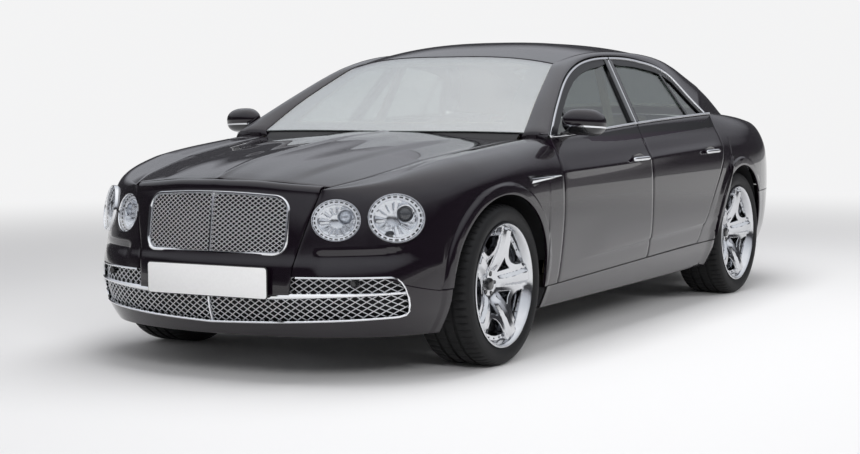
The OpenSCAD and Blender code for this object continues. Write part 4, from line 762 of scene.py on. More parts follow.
# Nose panel
# The painted surround of the grille, rounded over into the bonnet's front edge.
# A separate moulding, held by brackets, with one large opening.
nose_low = tall * 0.255
grille_low, grille_top, grille_half = tall * 0.366, tall * 0.544, half_w * 0.374
grille_r = half_w * 0.06


nose_turn = 0.02


def nose_column(u):
    y1 = u * (nose_edge(0.8) - gap * 0.5)
    top = top_z(hood_front_x(y1), y1) - skin
    low = []
    for z in span(nose_low, top - nose_turn, 34):
        y = u * (nose_edge(z) - gap * 0.5)
        low.append(np.array((nose_x(y, z), y, z)))
    y = low[-1][1]
    x = hood_front_x(y) + gap * 0.9
    edge = np.array((x, y, top_z(x, y)))
    corner = np.array((nose_x(y, top - nose_turn), y, edge[2]))
    return low + [bow(low[-1], corner, edge, u) for u in span(0, 1, 10)[1:]]


nose = press("nose_surround", [nose_column(u) for u in span(-1, 1, 60)], paint)


def rounded_outline(inset, steps=12):
    """Outline of the grille, y across and z up, as a closed ring of points."""
    ring = []
    top_r, crown = grille_r * 1.25, 0.012
    for s, up, start in ((-1, 0, 180), (1, 0, 270), (1, 1, 0), (-1, 1, 90)):
        full_r = top_r if up else grille_r
        r, cy = full_r - inset, s * (grille_half - full_r)
        cz = grille_top - top_r - crown if up else grille_low + grille_r
        ring += [(cy + r * math.cos(a), cz + r * math.sin(a))
                 for a in (math.radians(d) for d in span(start, start + 90, steps))]
        if s > 0 and up:
            ring += [(cy * t, cz + r + crown * (1 - t**2)) for t in span(1, -1, 8)[1:-1]]
    return ring


def ring_solid(name, ring, x_low, x_high, material):
    """A closed outline pushed along the car, as a cutter."""
    count = len(ring)
    verts = [(x, y, z) for x in (x_low, x_high) for y, z in ring]
    faces = [tuple(range(count)), tuple(range(2 * count - 1, count - 1, -1))]
    faces += [(j, (j + 1) % count, count + (j + 1) % count, count + j) for j in range(count)]
    return solid_of(name, verts, faces, material, 30)


carve(nose, [ring_solid("grille_hole", rounded_outline(0.004), 2.3, 2.8, paint)])
fit_in(nose, "car", "paint", "nose_panel")

# Front bumper
# A painted plastic moulding: chin and corners round one wide opening for the mesh.
# It closes the front below the lamps and ends at the wheel arches.


def bumper_column(station):
    kind, s = station
    top = (bumper_side_top if kind == 0 else
           mix(bumper_side_top, bumper_top, min(1, (1 - s) * 6))) - 0.0025
    rows = [front_point(station, z, middle=True) for z in span(lip_z, top, 26)]
    under = rows[0] * (0.985, 0.97, 1) - (0, 0, 0.004)
    return [under] + rows


def full_width(columns):
    """Columns from the left end to the middle, carried on to the right end."""
    return columns + [[np.array(p) * (1, -1, 1) for p in one] for one in columns[-2::-1]]


bumper = press("front_bumper_skin", full_width(
    [bumper_column((0, x)) for x in span(axle_f + arch_r + gap, knee_x, 10)[:-1]]
    + [bumper_column((1, u)) for u in span(1, 0, 44)]), paint)
mesh_edge = [(0, 0.249), (0.313, 0.259), (0.625, 0.273), (0.785, 0.282), (0.806, 0.290),
             (0.817, 0.306), (0.822, 0.335), (0.822, 0.365), (0.815, 0.405), (0.803, 0.432),
             (0.790, 0.448), (0.772, 0.456)]
mesh_ring = mesh_edge + [(0.772, 0.5), (-0.772, 0.5)] + [(-y, z) for y, z in mesh_edge[:0:-1]]
carve(bumper, [ring_solid("mesh_hole", mesh_ring, 2.1, 2.8, paint)])
fit_in(bumper, "car", "paint", "front_bumper")

# Sills
# Painted pressings under the doors, between the wheel arches, turned in along the lower edge.
# They cover the floor's side rails and meet the doors along a fine gap.
sill_front, sill_rear = axle_f - arch_r * 1.1, axle_r + arch_r + gap * 2
sill_low, sill_foot = 0.2, 0.208


def sill_column(x):
    rows = [(x, side_y(x, z) + 0.0015, z) for z in span(sill_foot, sill_z(x) - 0.004, 12)]
    y = rows[0][1]
    return [(x, y - 0.05, sill_low), (x, y - 0.012, sill_low + 0.0005)] + rows


sill = press("sill", [sill_column(x) for x in span(sill_front, sill_rear, 60)], paint, thick=0.004)
fit_in(both("sill_pair", sill), "car", "paint")

# Doors
# Outer skins with the crease at handle height and the step above the sill, hinged at the front.
# The pressings clip over the door frames, whose inner faces carry leather trim.
door_tail_shares = [(0.2366, 0.2228), (0.321, 0.1938), (0.4167, 0.1576), (0.512, 0.1168),
                    (0.5948, 0.0923), (0.672, 0.0907), (0.7225, 0.0956)]
roll_r = gap * 1.7 * 1.65


def door_tail(z):
    return axle_r + base * curve(door_tail_shares, z / tall)


def door_rows(x):
    low, high = sill_z(x) + 0.001, belt_z(x) - 0.001
    step, crease = step_z(x), curve(crease_line, x)
    return (span(low, step, 5)[:-1] + span(step, step + step_h, 3)[:-1]
            + span(step + step_h, crease - crease_h, 16)[:-1]
            + [crease + d for d in (-crease_h, -0.03, -0.018, -0.008, 0, 0.008, 0.018, 0.03, crease_h)]
            + span(crease + crease_h, high, 6)[1:])


def door_skin(front, rear):
    columns = []
    turn_x = front - roll_r
    for c in range(-3, 49):
        rows = []
        for z in door_rows(turn_x if c < 1 else mix(turn_x, rear(0.6), c / 48)):
            if c < 1:
                a = math.radians(-c * 17)
                x = turn_x + roll_r * math.sin(a)
                y = side_y(turn_x, z) - roll_r * (1 - math.cos(a))
            else:
                x = mix(turn_x, rear(z), c / 48)
                y = side_y(x, z)
            rows.append((x, y + 0.0012, z))
        x, y, z = rows[-1]
        tuck = ease((c + 1) / 9)
        rows += [(x, y - mix(0.001, 0.004, tuck), z + mix(0.0008, 0.003, tuck)),
                 (x, y - mix(0.002, 0.02, tuck), z + mix(0.001, 0.003, tuck))]
        columns.append(rows)
    return press("door_skin", columns, paint, thick=0.004, round_edge=0.0012)


door_cad = bpy.data.materials.new("door_inside")
door_cad.use_nodes = True
s = Sock(door_cad.node_tree)
shader = s.tree.nodes["Principled BSDF"]
along_x, aside, up_z = s.along_aside_up()
inner = (0.905 - aside - s.math("MAXIMUM", up_z - 0.85, 0.0) * 0.6 > 0) * (1.12 - along_x > 0)
grain = s.node("ShaderNodeTexVoronoi", Vector=s.where(), Scale=420)
cream = s.blend(grain, (0.66, 0.57, 0.42, 1), (0.74, 0.65, 0.5, 1))
black = up_z > 0.995
shade = s.blend(inner, (0.0125, 0.0075, 0.0135, 1), cream)
s.blend(black, shade, (0.008, 0.008, 0.009, 1)).into(shader, "Base Color")
(0.3 + inner * (1 - black) * 0.3).into(shader, "Roughness")
shader.inputs["Specular IOR Level"].default_value = 0.25
for end, front, rear in (("front", door_front, lambda z: door_split),
                         ("rear", door_split - gap, door_tail)):
    on_leaves(door_skin(front, rear), end, "door_skin", "paint")
    for flank in ("_left", "_right"):
        dress(end + flank + "_door", door_cad)

# Rear wings
# Pressings from the rear doors over the wheel arches and round to the boot lid.
# Each carries a tail lamp in an oval hole and meets the bumper along a straight seam.
lid_y, tail_split = half_w * 0.65, tall * 0.4
tail_corner = tail_x(lid_y, tall * 0.62) + shoulder * 0.9
wing_gap = gap * 0.9
quarter_front = door_tail(sill_z(door_tail(0))) - wing_gap


def rear_point(s, z, end=0.0):
    y = mix(end, plain_side(knee_r, z), s)
    return np.array((tail_x(y, z), y, z))


def quarter_column(foot_x, foot_z, f):
    share = f / 12
    if f <= 12:
        head_x = mix(door_tail(tall) - wing_gap, axle_r - arch_r * 1.1, share)
    else:
        head_x = mix(axle_r - arch_r * 1.1, knee_r + half_l * 0.05, f - 12)
    head = (head_x, deck_edge(head_x))
    top = top_z(*head)

    def place(z):
        w = (z - foot_z) / (top - foot_z)
        sway = door_tail(z) - mix(door_tail(foot_z), door_tail(top), w)
        return mix(foot_x, head_x, w) + max(0, 1 - f / 6) * sway

    return column(lambda z: np.array((place(z), side_y(place(z), z), z)), foot_z, head, place)


quarter_columns = []
for u in span(0, 1, 8)[:-1]:
    x = mix(quarter_front, axle_r + arch_r, u)
    quarter_columns.append(quarter_column(x, sill_z(x), 2.5 * u))
for u in span(0, 1, 48):
    z = tyre_r + arch_r * math.sin(math.pi * u)
    quarter_columns.append(quarter_column(axle_r + arch_r * math.cos(math.pi * u),
                                          max(z, tail_split) if u > 0.5 else z, 2.5 + 9.5 * u))
for u in span(0, 1, 6)[1:-1]:
    quarter_columns.append(quarter_column(mix(axle_r - arch_r, knee_r, u), tail_split, 12 + u))
for u in span(0, 1, 24):
    x = mix(knee_r + half_l * 0.05, tail_corner, u)
    quarter_columns.append(column(lambda z: rear_point(1 - u, z, lid_y + gap * 0.8), tail_split,
                                  (x, deck_edge(x)), lambda z: -half_l))
quarter = press("rear_wing", quarter_columns, paint)
tail_lamp_y, tail_lamp_z, tail_lamp_r = half_w * 0.74, tall * 0.51, half_w * 0.075
tail_place = (Matrix.Translation((tail_x(tail_lamp_y, tail_lamp_z) + gap, tail_lamp_y - gap, tail_lamp_z))
              @ Matrix.Rotation(math.radians(135), 4, "Z"))
carve(quarter, [oval_cutter(tail_place, tail_lamp_r, 0.1)])
fit_in(both("rear_wing_pair", quarter), "car", "paint", "quarter_panels")

# Boot lid
# One pressing: the deck, a soft turn and the tail face down to the bumper.
# Hinged below the rear window, with a shallow recess in the middle of the tail face.
lid_front = tail_base - gap * 3.6


def lid_point(y, v):
    xt = tail_x(y, tall * 0.62)
    z1 = top_z(xt, y) - shoulder * 0.6
    xq = xt + shoulder * 0.9
    if v <= 1:
        x = mix(lid_front, xq, v)
        return np.array((x, y, top_z(x, y)))
    if v <= 2:
        p1, p2 = np.array((xq, y, top_z(xq, y))), np.array((tail_x(y, z1), y, z1))
        c = np.array((tail_x(y, z1) + gap, y, top_z(xt, y)))
        return bow(p1, c, p2, v - 1)
    z = mix(z1, tail_split + gap * 0.6, v - 2)
    hollow = 0.012 * ease((0.36 - abs(y)) / 0.03) * ease((z - 0.64) / 0.02) * ease((0.84 - z) / 0.02)
    return np.array((tail_x(y, z) + hollow, y, z))


lid = press("boot_lid", [
    [lid_point(y, v) for y in span(gap - lid_y, lid_y - gap, 72)]
    for v in span(0, 1, 24)[:-1] + span(1, 2, 14)[:-1] + span(2, 3, 28)], paint, thick=0.006)
fit_in(lid, "boot", "paint", "trunk_lid")

# Rear bumper
# A painted moulding from arch to arch with a black lower insert and two bright tail pipes.
# It closes the tail below the boot lid.


def tail_column(kind, s):
    rows = []
    for z in span(lip_z * 1.15, tail_split - 0.003, 24):
        if kind == 0:
            arch_x = axle_r - math.sqrt(max(0, arch_r**2 - max(0, z - tyre_r) ** 2))
            x = mix(arch_x, knee_r, s)
            rows.append(np.array((x, side_y(x, z), z)))
        else:
            rows.append(rear_point(s, z))
    return [rows[0] * (0.985, 0.97, 1) - (0, 0, 0.003)] + rows


rear_skin = press("rear_bumper_skin", full_width(
    [tail_column(0, u) for u in span(0, 1, 8)[:-1]] + [tail_column(1, u) for u in span(1, 0, 40)]), paint)
fit_in(rear_skin, "car", "paint", "rear_bumper")
black_gloss = cover("black_gloss", (0.006, 0.006, 0.007), 0.12, scale=300, tone=0.3, wear=0.05,
                    Coat_Weight=0.6, Coat_Roughness=0.03)
black_soft = cover("black_moulding", (0.012, 0.012, 0.013), 0.55, scale=500, bump=0.0003)
insert_y = 0.62
insert = press("tail_insert", [
    [(tail_x(y, z) - 0.004, y, z) for z in span(0.205, 0.30 - 0.03 * (y / insert_y) ** 4, 8)]
    for y in span(-insert_y, insert_y, 40)], black_soft, thick=0.004)
fit_in(insert, "car", "steel")


def loft(name, rings, material, caps=True):
    """A solid drawn through closed rings of points."""
    solid = sheet(name, [list(ring) + [ring[0]] for ring in rings], material)
    close_up(weld=1e-6, fill=caps)
    smooth(40)
    return solid


def oval(centre, across, up, steps):
    """A closed ring of points round a centre."""
    centre, across, up = (np.array(p, float) for p in (centre, across, up))
    return [centre + across * math.cos(a) + up * math.sin(a) for a in circle(steps)]


def strip(name, path, out, wide, high, material, under=0.002):
    """A moulding laid along a path: out gives the way up from the surface at each point."""
    path = [np.array(p, float) for p in path]
    rings = []
    for i, p in enumerate(path):
        along = path[min(i + 1, len(path) - 1)] - path[max(i - 1, 0)]
        along = along / np.linalg.norm(along)
        up = np.array(out(p), float)
        up = up - along * (up @ along)
        up = up / np.linalg.norm(up)
        across_to = np.cross(along, up)
        rings.append([p + across_to * wide / 2 * a + up * b for a, b in (
            (-1, -under), (-1, high * 0.45), (-0.72, high * 0.86), (0, high), (0.72, high * 0.86),
            (1, high * 0.45), (1, -under))])
    return loft(name, rings, material)


chrome = cover("bright_chrome", (0.82, 0.83, 0.85), 0.09, metal=1.0, scale=40, tone=0.03, wear=0.03)
pipe_y, pipe_z, pipe_wide, pipe_high = 0.5, 0.245, 0.075, 0.04
pipe_x = tail_x(pipe_y, 0.25) + 0.03
tip = loft("pipe", [
    oval((pipe_x + h, pipe_y, pipe_z), (0, pipe_wide * r, 0), (0, 0, pipe_high * r), 40)
    for h, r in ((0.05, 0.8), (-0.02, 0.92), (-0.045, 1.0), (-0.05, 0.99), (-0.05, 0.93), (0.02, 0.86))],
    chrome, caps=False)
fit_in(both("tail_pipes", tip), "car", "pipe")
lid_strip = strip("boot_strip", [lid_point(y, 2.02) for y in span(-0.36, 0.36, 30)],
                  lambda p: (-1, 0, 0), 0.014, 0.006, chrome)
fit_in(lid_strip, "boot", "bright")

# Wheel arch liners
# Black moulded linings inside the four wheel arches, clipped to the wings.
# They hide the inner structure behind the tyres.
liners = []
liner_in, liner_back = 0.62, 0.024
for axle, liner_r, end in ((axle_f, 0.458, 9), (axle_r, arch_r + 0.012, -4)):
    rows = []
    for a in span(math.radians(end), math.radians(180 - end), 44):
        x, z = axle + liner_r * math.cos(a), tyre_r + liner_r * math.sin(a)
        rows.append([(x, y, z) for y in span(liner_in, plain_side(x, max(z, 0.4)) - liner_back, 8)])
    liners.append(press("liner", rows, black_soft, thick=0.003, round_edge=0))
fit_in(both("arch_liners", joined("liners_left", liners)), "car", "steel")

# Number plate
# One blank white plate with rounded corners, in a thin black carrier.
# It stands across the nose below the grille.
plate_white = cover("plate_white", (0.82, 0.82, 0.82), 0.35, scale=90, tone=0.04)
plate_x, plate_low, plate_high, plate_half, plate_r = 2.643, 0.366, 0.496, 0.312, 0.012
carrier_t, plate_t, carrier_rim = 0.005, 0.003, 0.004


def plate_on(name, x, thick, grow, material):
    """A plate with rounded corners that stands across the car."""
    ring, r, y, middle = [], plate_r + grow, plate_half - plate_r, (plate_low + plate_high) / 2
    for cy, cz, start in ((y, plate_high - plate_r, 0), (-y, plate_high - plate_r, 90),
                          (-y, plate_low + plate_r, 180), (y, plate_low + plate_r, 270)):
        ring += [(cy + r * math.cos(a), cz + r * math.sin(a))
                 for a in span(math.radians(start), math.radians(start + 90), 6)]
    return loft(name, [[(x + h, y * (1 - shrink / plate_half), z - math.copysign(shrink, z - middle))
                        for y, z in ring]
                       for h, shrink in ((0, 0), (thick * 0.7, 0), (thick, 0.001))], material)


fit_in(plate_on("front_plate_carrier", plate_x, carrier_t, carrier_rim, black_soft), "car", "steel")
fit_in(plate_on("front_plate", plate_x + carrier_t, plate_t, 0, plate_white), "car", "bright")

# Windows
# Laminated screens with a dark printed edge, and toughened panes that stand in the door frames.
# Clear, faintly green glass that mirrors the sky at a low angle.


def glazing(name, tint, mirrored=0.045, grazing=0.85):
    """Clear glass: a share of its light is mirrored, more of it at a low angle."""
    material = bpy.data.materials.new(name)
    g = bare_tree(material)
    film = g.node("ShaderNodeTexNoise", Vector=g.where(), Scale=3.0)
    clear = g.node("ShaderNodeBsdfTransparent", Color=tint)
    mirror_face = g.node("ShaderNodeBsdfGlossy", Color=(1, 1, 1, 1), Roughness=0.01)
    edge_on = g.math("POWER", g.node("ShaderNodeLayerWeight", out=1, Blend=0.5), 4.0)
    share = edge_on * grazing + film * 0.03 + mirrored
    whole = g.node("ShaderNodeMixShader", i0=share, i1=clear, i2=mirror_face)
    whole.into(g.tree.nodes.new("ShaderNodeOutputMaterial"), "Surface")
    return material


screen_glass = glazing("screen_glass", (0.7, 0.74, 0.72, 1), mirrored=0.42, grazing=0.5)
glass = glazing("side_glass", (0.6, 0.64, 0.62, 1), mirrored=0.025)
edge_u, edge_sink, near, far = 0.83, 0.0055, 0.002, 0.998
for name, point, low, high in (("windscreen", screen_point, 0.11, 0.92),
                               ("rear_window", tail_window_point, 0.08, 0.88)):
    pane = press(name + "_glass", [[point(u, v) for u in span(-1, 1, 40)] for v in span(0, 1, 30)],
                 screen_glass, thick=0.0045, round_edge=0)
    fit_in(pane, "car", "glass", name)
    edges = []
    for across_u, along_v in ((span(-far, -edge_u, 8), span(near, far, 30)),
                              (span(edge_u, far, 8), span(near, far, 30)),
                              (span(-edge_u, edge_u, 40), span(near, low, 6)),
                              (span(-edge_u, edge_u, 40), span(high, far, 6))):
        edges.append(press("edge", [[np.array(point(u, v)) - (0, 0, edge_sink) for u in across_u]
                                    for v in along_v], black_gloss, thick=0.0006, round_edge=0))
    fit_in(joined(name + "_edge", edges), "car", "steel")
scuttle = press("scuttle", [
    [np.array(screen_point(u, 0)) + (dx, 0, dz) for u in span(-0.97, 0.97, 40)]
    for dx, dz in ((-0.012, -0.012), (0.0, -0.010), (0.016, -0.021), (0.045, -0.042))],
    black_soft, thick=0.002)
fit_in(scuttle, "car", "steel")
frame_w, split_lean = 0.046, base * 0.044


def pane_top(x):
    rise = (window_z(x + 0.005) - window_z(x - 0.005)) / 0.01
    return window_z(x) - frame_w * 0.7 * math.sqrt(1 + rise * rise)


def pane_rows(x_front, x_rear, lean_f, lean_r, depth=0.016):
    rows = []
    for u in span(0, 1, 40):
        row = []
        for v in span(0, 1, 12):
            x = mix(x_front - lean_f * v, x_rear - lean_r * v, u)
            z = mix(belt_z(x) - 0.002, pane_top(x) + 0.006, v)
            row.append((x, glass_y(x, z) - depth, z))
        rows.append(row)
    return rows


for end, ends in (("front", (door_front - base * 0.034, door_split + frame_w * 0.6, 0, split_lean * 0.9)),
                  ("rear", (door_split - frame_w * 0.6, -half_l * 0.352, split_lean * 0.9, 0))):
    on_leaves(press("pane", pane_rows(*ends), glass, thick=0.004, round_edge=0), end, "pane", "glass", "window")

# Window surrounds
# Bright mouldings round the side windows, on the doors, with black centre pillars and dividers.
# Each door carries its own length, so the line breaks at the centre pillar.


def side_way(p):
    return (0, 1, lean)


split_top = door_split - split_lean


def split_x(side, z):
    lift = max(0, z - belt_z(door_split)) / (window_z(split_top) - belt_z(door_split))
    return door_split - split_lean * lift - (gap * 1.15 if side < 0 else 0)


for end, side, head, foot, bar_x, bar_lean in (
        ("front", 1, (door_front - 0.02, split_top + 0.003), (door_front - 0.006, door_split + 0.001), 0.845, 0.03),
        ("rear", -1, (split_top - 0.009, -half_l * 0.374), (door_split - 0.007, door_tail(1.08)), -0.735, -0.05)):
    head_line = [(x, glass_y(x, window_z(x) - 0.008) - 0.003, window_z(x) - 0.008) for x in span(*head, 60)]
    belt_line = [(x, plain_side(x, belt_z(x)) + 0.002, belt_z(x) + 0.004) for x in span(*foot, 40)]
    post = [(split_x(side, z) + side * 0.024, glass_y(door_split, z) - 0.003, z)
            for z in span(belt_z(door_split) + 0.008, window_z(split_top) - 0.018, 12)]
    bar_z = span(belt_z(bar_x), pane_top(bar_x) + 0.01, 10)
    divider = [(bar_x - bar_lean * k / 10, glass_y(bar_x, z) - 0.012, z) for k, z in enumerate(bar_z)]
    trims = [strip("head_trim", head_line, side_way, 0.013, 0.007, chrome),
             strip("belt_trim", belt_line, side_way, 0.012, 0.006, chrome)]
    if end == "front":
        line = [(x - 0.024, y + 0.0035, z) for x, y, z in post]
        trims.append(strip("post_line", line, side_way, 0.004, 0.003, chrome))
    blacks = [strip("post_cover", post, side_way, 0.046, 0.005, black_gloss),
              strip("divider", divider, side_way, 0.026, 0.006, black_gloss)]
    on_leaves(joined("trim", trims), end, "window_trim", "bright")
    on_leaves(joined("posts", blacks), end, "window_posts", "steel")

# Door handles
# Bright bars that stand off the doors on two short posts, over a shaded cup.
# One to a door, at the height of the crease.
handle_l, handle_z = half_w * 0.2, tall * 0.584
bar_half, bar_off, bar_deep, bar_high = 0.108, 0.0205, 0.0095, 0.0115
cup_half, cup_high = 0.075, 0.026
for end, x in (("front", door_split + handle_l * 0.85), ("rear", door_tail(handle_z) + handle_l * 1.15)):
    rings = []
    for u in span(-1, 1, 32):
        round_off = max(0.02, 1 - abs(u) ** 10) ** 0.5
        at = x + u * bar_half
        rings.append(oval((at, side_y(at, handle_z) + bar_off, handle_z), (0, 0, bar_high * round_off),
                          (0, bar_deep * round_off, 0), 20))
    cup = loft("cup", [[(at, side_y(at, handle_z) + h, z) for at, _, z in
                        oval((x, 0, handle_z + 0.004), (cup_half * t, 0, 0), (0, 0, cup_high * t), 40)]
                       for h, t in ((-0.002, 1.0), (0.0019, 1.0), (0.0023, 0.93), (0.0016, 0.7))], paint)
    on_leaves(joined("bar", [loft("bar", rings, chrome), cup]), end, "handle", "bright")

# Grille
# A polished frame round a fine diamond lattice of wires, with one upright bar down the middle.
# It fills the opening of the nose panel, over a black air box.
wire_silver = cover("wire_polish", (0.8, 0.8, 0.82), 0.34, metal=1.0, scale=200, tone=0.08)
black_box = cover("air_box", (0.004, 0.004, 0.0045), 0.7, scale=80, tone=0.3)


def in_ring(ring, spots):
    """Which spots lie inside a closed outline."""
    hit = np.zeros(len(spots), bool)
    for (p0, q0), (p1, q1) in zip(ring, np.roll(ring, -1, 0)):
        level_with = (q0 > spots[:, 1]) != (q1 > spots[:, 1])
        if q0 != q1:
            hit ^= level_with & (spots[:, 0] < p0 + (p1 - p0) * (spots[:, 1] - q0) / (q1 - q0))
    return hit


def wire_mesh(name, ring, pitch_y, pitch_z, deep, r, material):
    """Crossed wires cut to an outline, laid behind the face of the nose."""
    verts, faces = [], []
    ring = np.array(ring)
    (y_low, z_low), (y_high, z_high) = ring.min(0), ring.max(0)
    rise, sides = pitch_z / pitch_y, 6
    steps = int((z_high - z_low) / 0.004)
    across = np.array((-rise, 1)) / math.hypot(rise, 1)
    for way in (-1, 1):
        starts = [y - way * z / rise for y in (y_low, y_high) for z in (z_low, z_high)]
        for n in range(int(min(starts) / pitch_y) - 1, int(max(starts) / pitch_y) + 2):
            line = np.array([(n * pitch_y + way * z / rise, z) for z in span(z_low, z_high, steps)])
            hits = in_ring(ring, line)
            start = hits.argmax()
            stop = start + hits[start:].argmin() if not hits[start:].all() else len(hits)
            run = line[start:stop]
            if len(run) < 2:
                continue
            run = np.concatenate([run[:1], run[2:-2:3], run[-1:]])
            first = len(verts)
            for y, z in run:
                x = nose_x(y, z) - deep + way * r * 0.5
                verts += [(x + math.sin(a) * r, y + math.cos(a) * r * way * across[0],
                           z + math.cos(a) * r * across[1])
                          for a in circle(sides)]
            for i in range(len(run) - 1):
                for j in range(sides):
                    a, b = first + sides * i + j, first + sides * i + (j + 1) % sides
                    faces.append((a, b, b + sides, a + sides))
            faces.append(tuple(first + j for j in range(sides - 1, -1, -1)))
            faces.append(tuple(len(verts) - sides + j for j in range(sides)))
    return solid_of(name, verts, faces, material, 70)


def upright_bar(name, rear, front, heights):
    """A narrow upright bar with a softened face, behind or ahead of the nose's line."""
    section = ((rear, -0.005), (front - 0.003, -0.005), (front, -0.0036), (front, 0.0036),
               (front - 0.003, 0.005), (rear, 0.005))
    return loft(name, [[(nose_x(0, z) + dx, dy, z) for dx, dy in section] for z in heights], chrome)


def air_box(depth, z_low, z_high, rows, y, columns):
    """A black sheet behind an opening in the nose."""
    return press("air_box", [[(nose_x(across, z) - depth, across, z) for z in span(z_low, z_high, rows)]
                             for across in span(-y, y, columns)], black_box, thick=0.003)


def ring_frame(name, ring, section, material, closed=True):
    """A frame whose section, inward and ahead of the nose, follows an outline."""
    rings, count = [], len(ring)
    for i, (y, z) in enumerate(ring):
        before, after = (ring[i - 1], ring[(i + 1) % count]) if closed else (
            ring[max(i - 1, 0)], ring[min(i + 1, count - 1)])
        t = np.array((after[0] - before[0], after[1] - before[1]))
        t = t / np.linalg.norm(t)
        x = nose_x(y, z)
        rings.append([(x + ahead_by, y - t[1] * inward, z + t[0] * inward) for inward, ahead_by in section])
    if closed:
        rings.append(rings[0])
    return loft(name, rings, material, caps=not closed)


frame_section = [(-0.003, -0.03), (-0.003, 0.003), (0.001, 0.008), (0.007, 0.009), (0.012, 0.004),
                 (0.014, -0.006), (0.014, -0.03)]
grille_frame = ring_frame("grille_frame", rounded_outline(0), frame_section, chrome)
grille_wires = wire_mesh("grille_wires", rounded_outline(0.01), 0.0275, 0.0195, 0.012, 0.0018, wire_silver)
bar = upright_bar("grille_bar", -0.02, 0.001, span(grille_low + 0.01, grille_top - 0.008, 12))
fit_in(joined("grille_lattice", [grille_frame, bar, grille_wires]), "car", "bright", "grille")
backs = [air_box(0.05, 0.525, 0.825, 10, 0.38, 24)]

# Lower mesh
# Diamond mesh across the bumper's opening with a bright outline, side blades and an upright bar.
# Round sensors sit in the side meshes; an air box closes the space behind.
lower_ring = [(y * 0.997, z + 0.003) for y, z in mesh_edge[:-1]] + [(0.772, 0.457), (0.4, 0.46)]
lower_ring = lower_ring + [(-y, z) for y, z in lower_ring[:0:-1]]
lower_wires = wire_mesh("lower_wires", lower_ring, 0.040, 0.027, 0.030, 0.0024, wire_silver)
top_run = [(y, 0.4565) for y in (0.70, 0.55, 0.42)]
edge_path = [(-y, z) for y, z in (mesh_edge + top_run)[::-1]] + mesh_edge[1:] + top_run


def dense(points, longest):
    """An outline's points, with more set between them where they lie far apart."""
    fine = []
    for (y0, z0), (y1, z1) in zip(points, points[1:]):
        n = max(1, int(math.hypot(y1 - y0, z1 - z0) / longest))
        fine += [(mix(y0, y1, k / n), mix(z0, z1, k / n)) for k in range(n)]
    return fine


outline_trim = ring_frame("mesh_outline", dense(edge_path, 0.02) + edge_path[-1:], [
    (-0.002, -0.02), (-0.002, 0.002), (0.002, 0.005), (0.006, 0.002), (0.007, -0.02)], chrome, closed=False)
blade_section = ((-0.03, -1), (-0.004, -1), (0.003, -0.6), (0.004, 0.2), (-0.004, 1), (-0.03, 1))
rings = []
for u in span(0, 1, 30):
    y, z, thick = mix(0.30, 0.812, u), mix(0.372, 0.387, u), mix(0.0125, 0.0055, u)
    rings.append([(nose_x(y, z) + dx, y, z + dz * thick) for dx, dz in blade_section])
blades = both("blades", loft("blade", rings, chrome))
upright = upright_bar("mesh_bar", -0.035, -0.011, (0.252, 0.30, 0.34, 0.378))
fit_in(joined("lower_mesh", [lower_wires, outline_trim, upright, blades]), "car", "mesh", "lower_grille")
backs.append(air_box(0.075, 0.235, 0.47, 8, 0.84, 60))
fit_in(joined("air_boxes", backs), "car", "steel")

# Headlamps
# Two oval lamps a side: bright bezel, pale ring with dark cells, fluted bowl and a projector.
# A clear dome closes each lamp flush with the wing.
bowl_silver = cover("lamp_bowl", (0.8, 0.81, 0.83), 0.16, metal=1.0, scale=50, tone=0.06, wear=0.06)
cell_white = cover("light_cells", (0.75, 0.76, 0.8), 0.3, scale=300, tone=0.08)
lens_dark = cover("projector_dark", (0.01, 0.012, 0.016), 0.04, scale=60, tone=0.3, wear=0.02,
                  Coat_Weight=1.0, Coat_Roughness=0.01)
lens_clear = cover("projector_clear", (0.5, 0.53, 0.58), 0.06, metal=0.6, scale=130, tone=0.45, wear=0.08,
                   bump=0.0012, cells=True)
lamp_glass = glazing("lamp_glass", (0.93, 0.94, 0.95, 1))


def polar(name, place, r_high, height, material, turns=96, rings_n=12):
    """An oval face whose height varies with radius and angle."""
    face = sheet(name, [
        [place @ Vector((height(r, a), r * lamp_wide * math.cos(a), r * math.sin(a)))
         for r in span(0.001, r_high, rings_n)] for a in span(0, 2 * math.pi, turns)], material)
    close_up(weld=1e-5, face_out=False)
    middle = face.data.polygons[len(face.data.polygons) // 2]
    if middle.normal @ (place.to_3x3() @ Vector((1, 0, 0))) < 0:
        face.data.flip_normals()
    smooth(30)
    return face


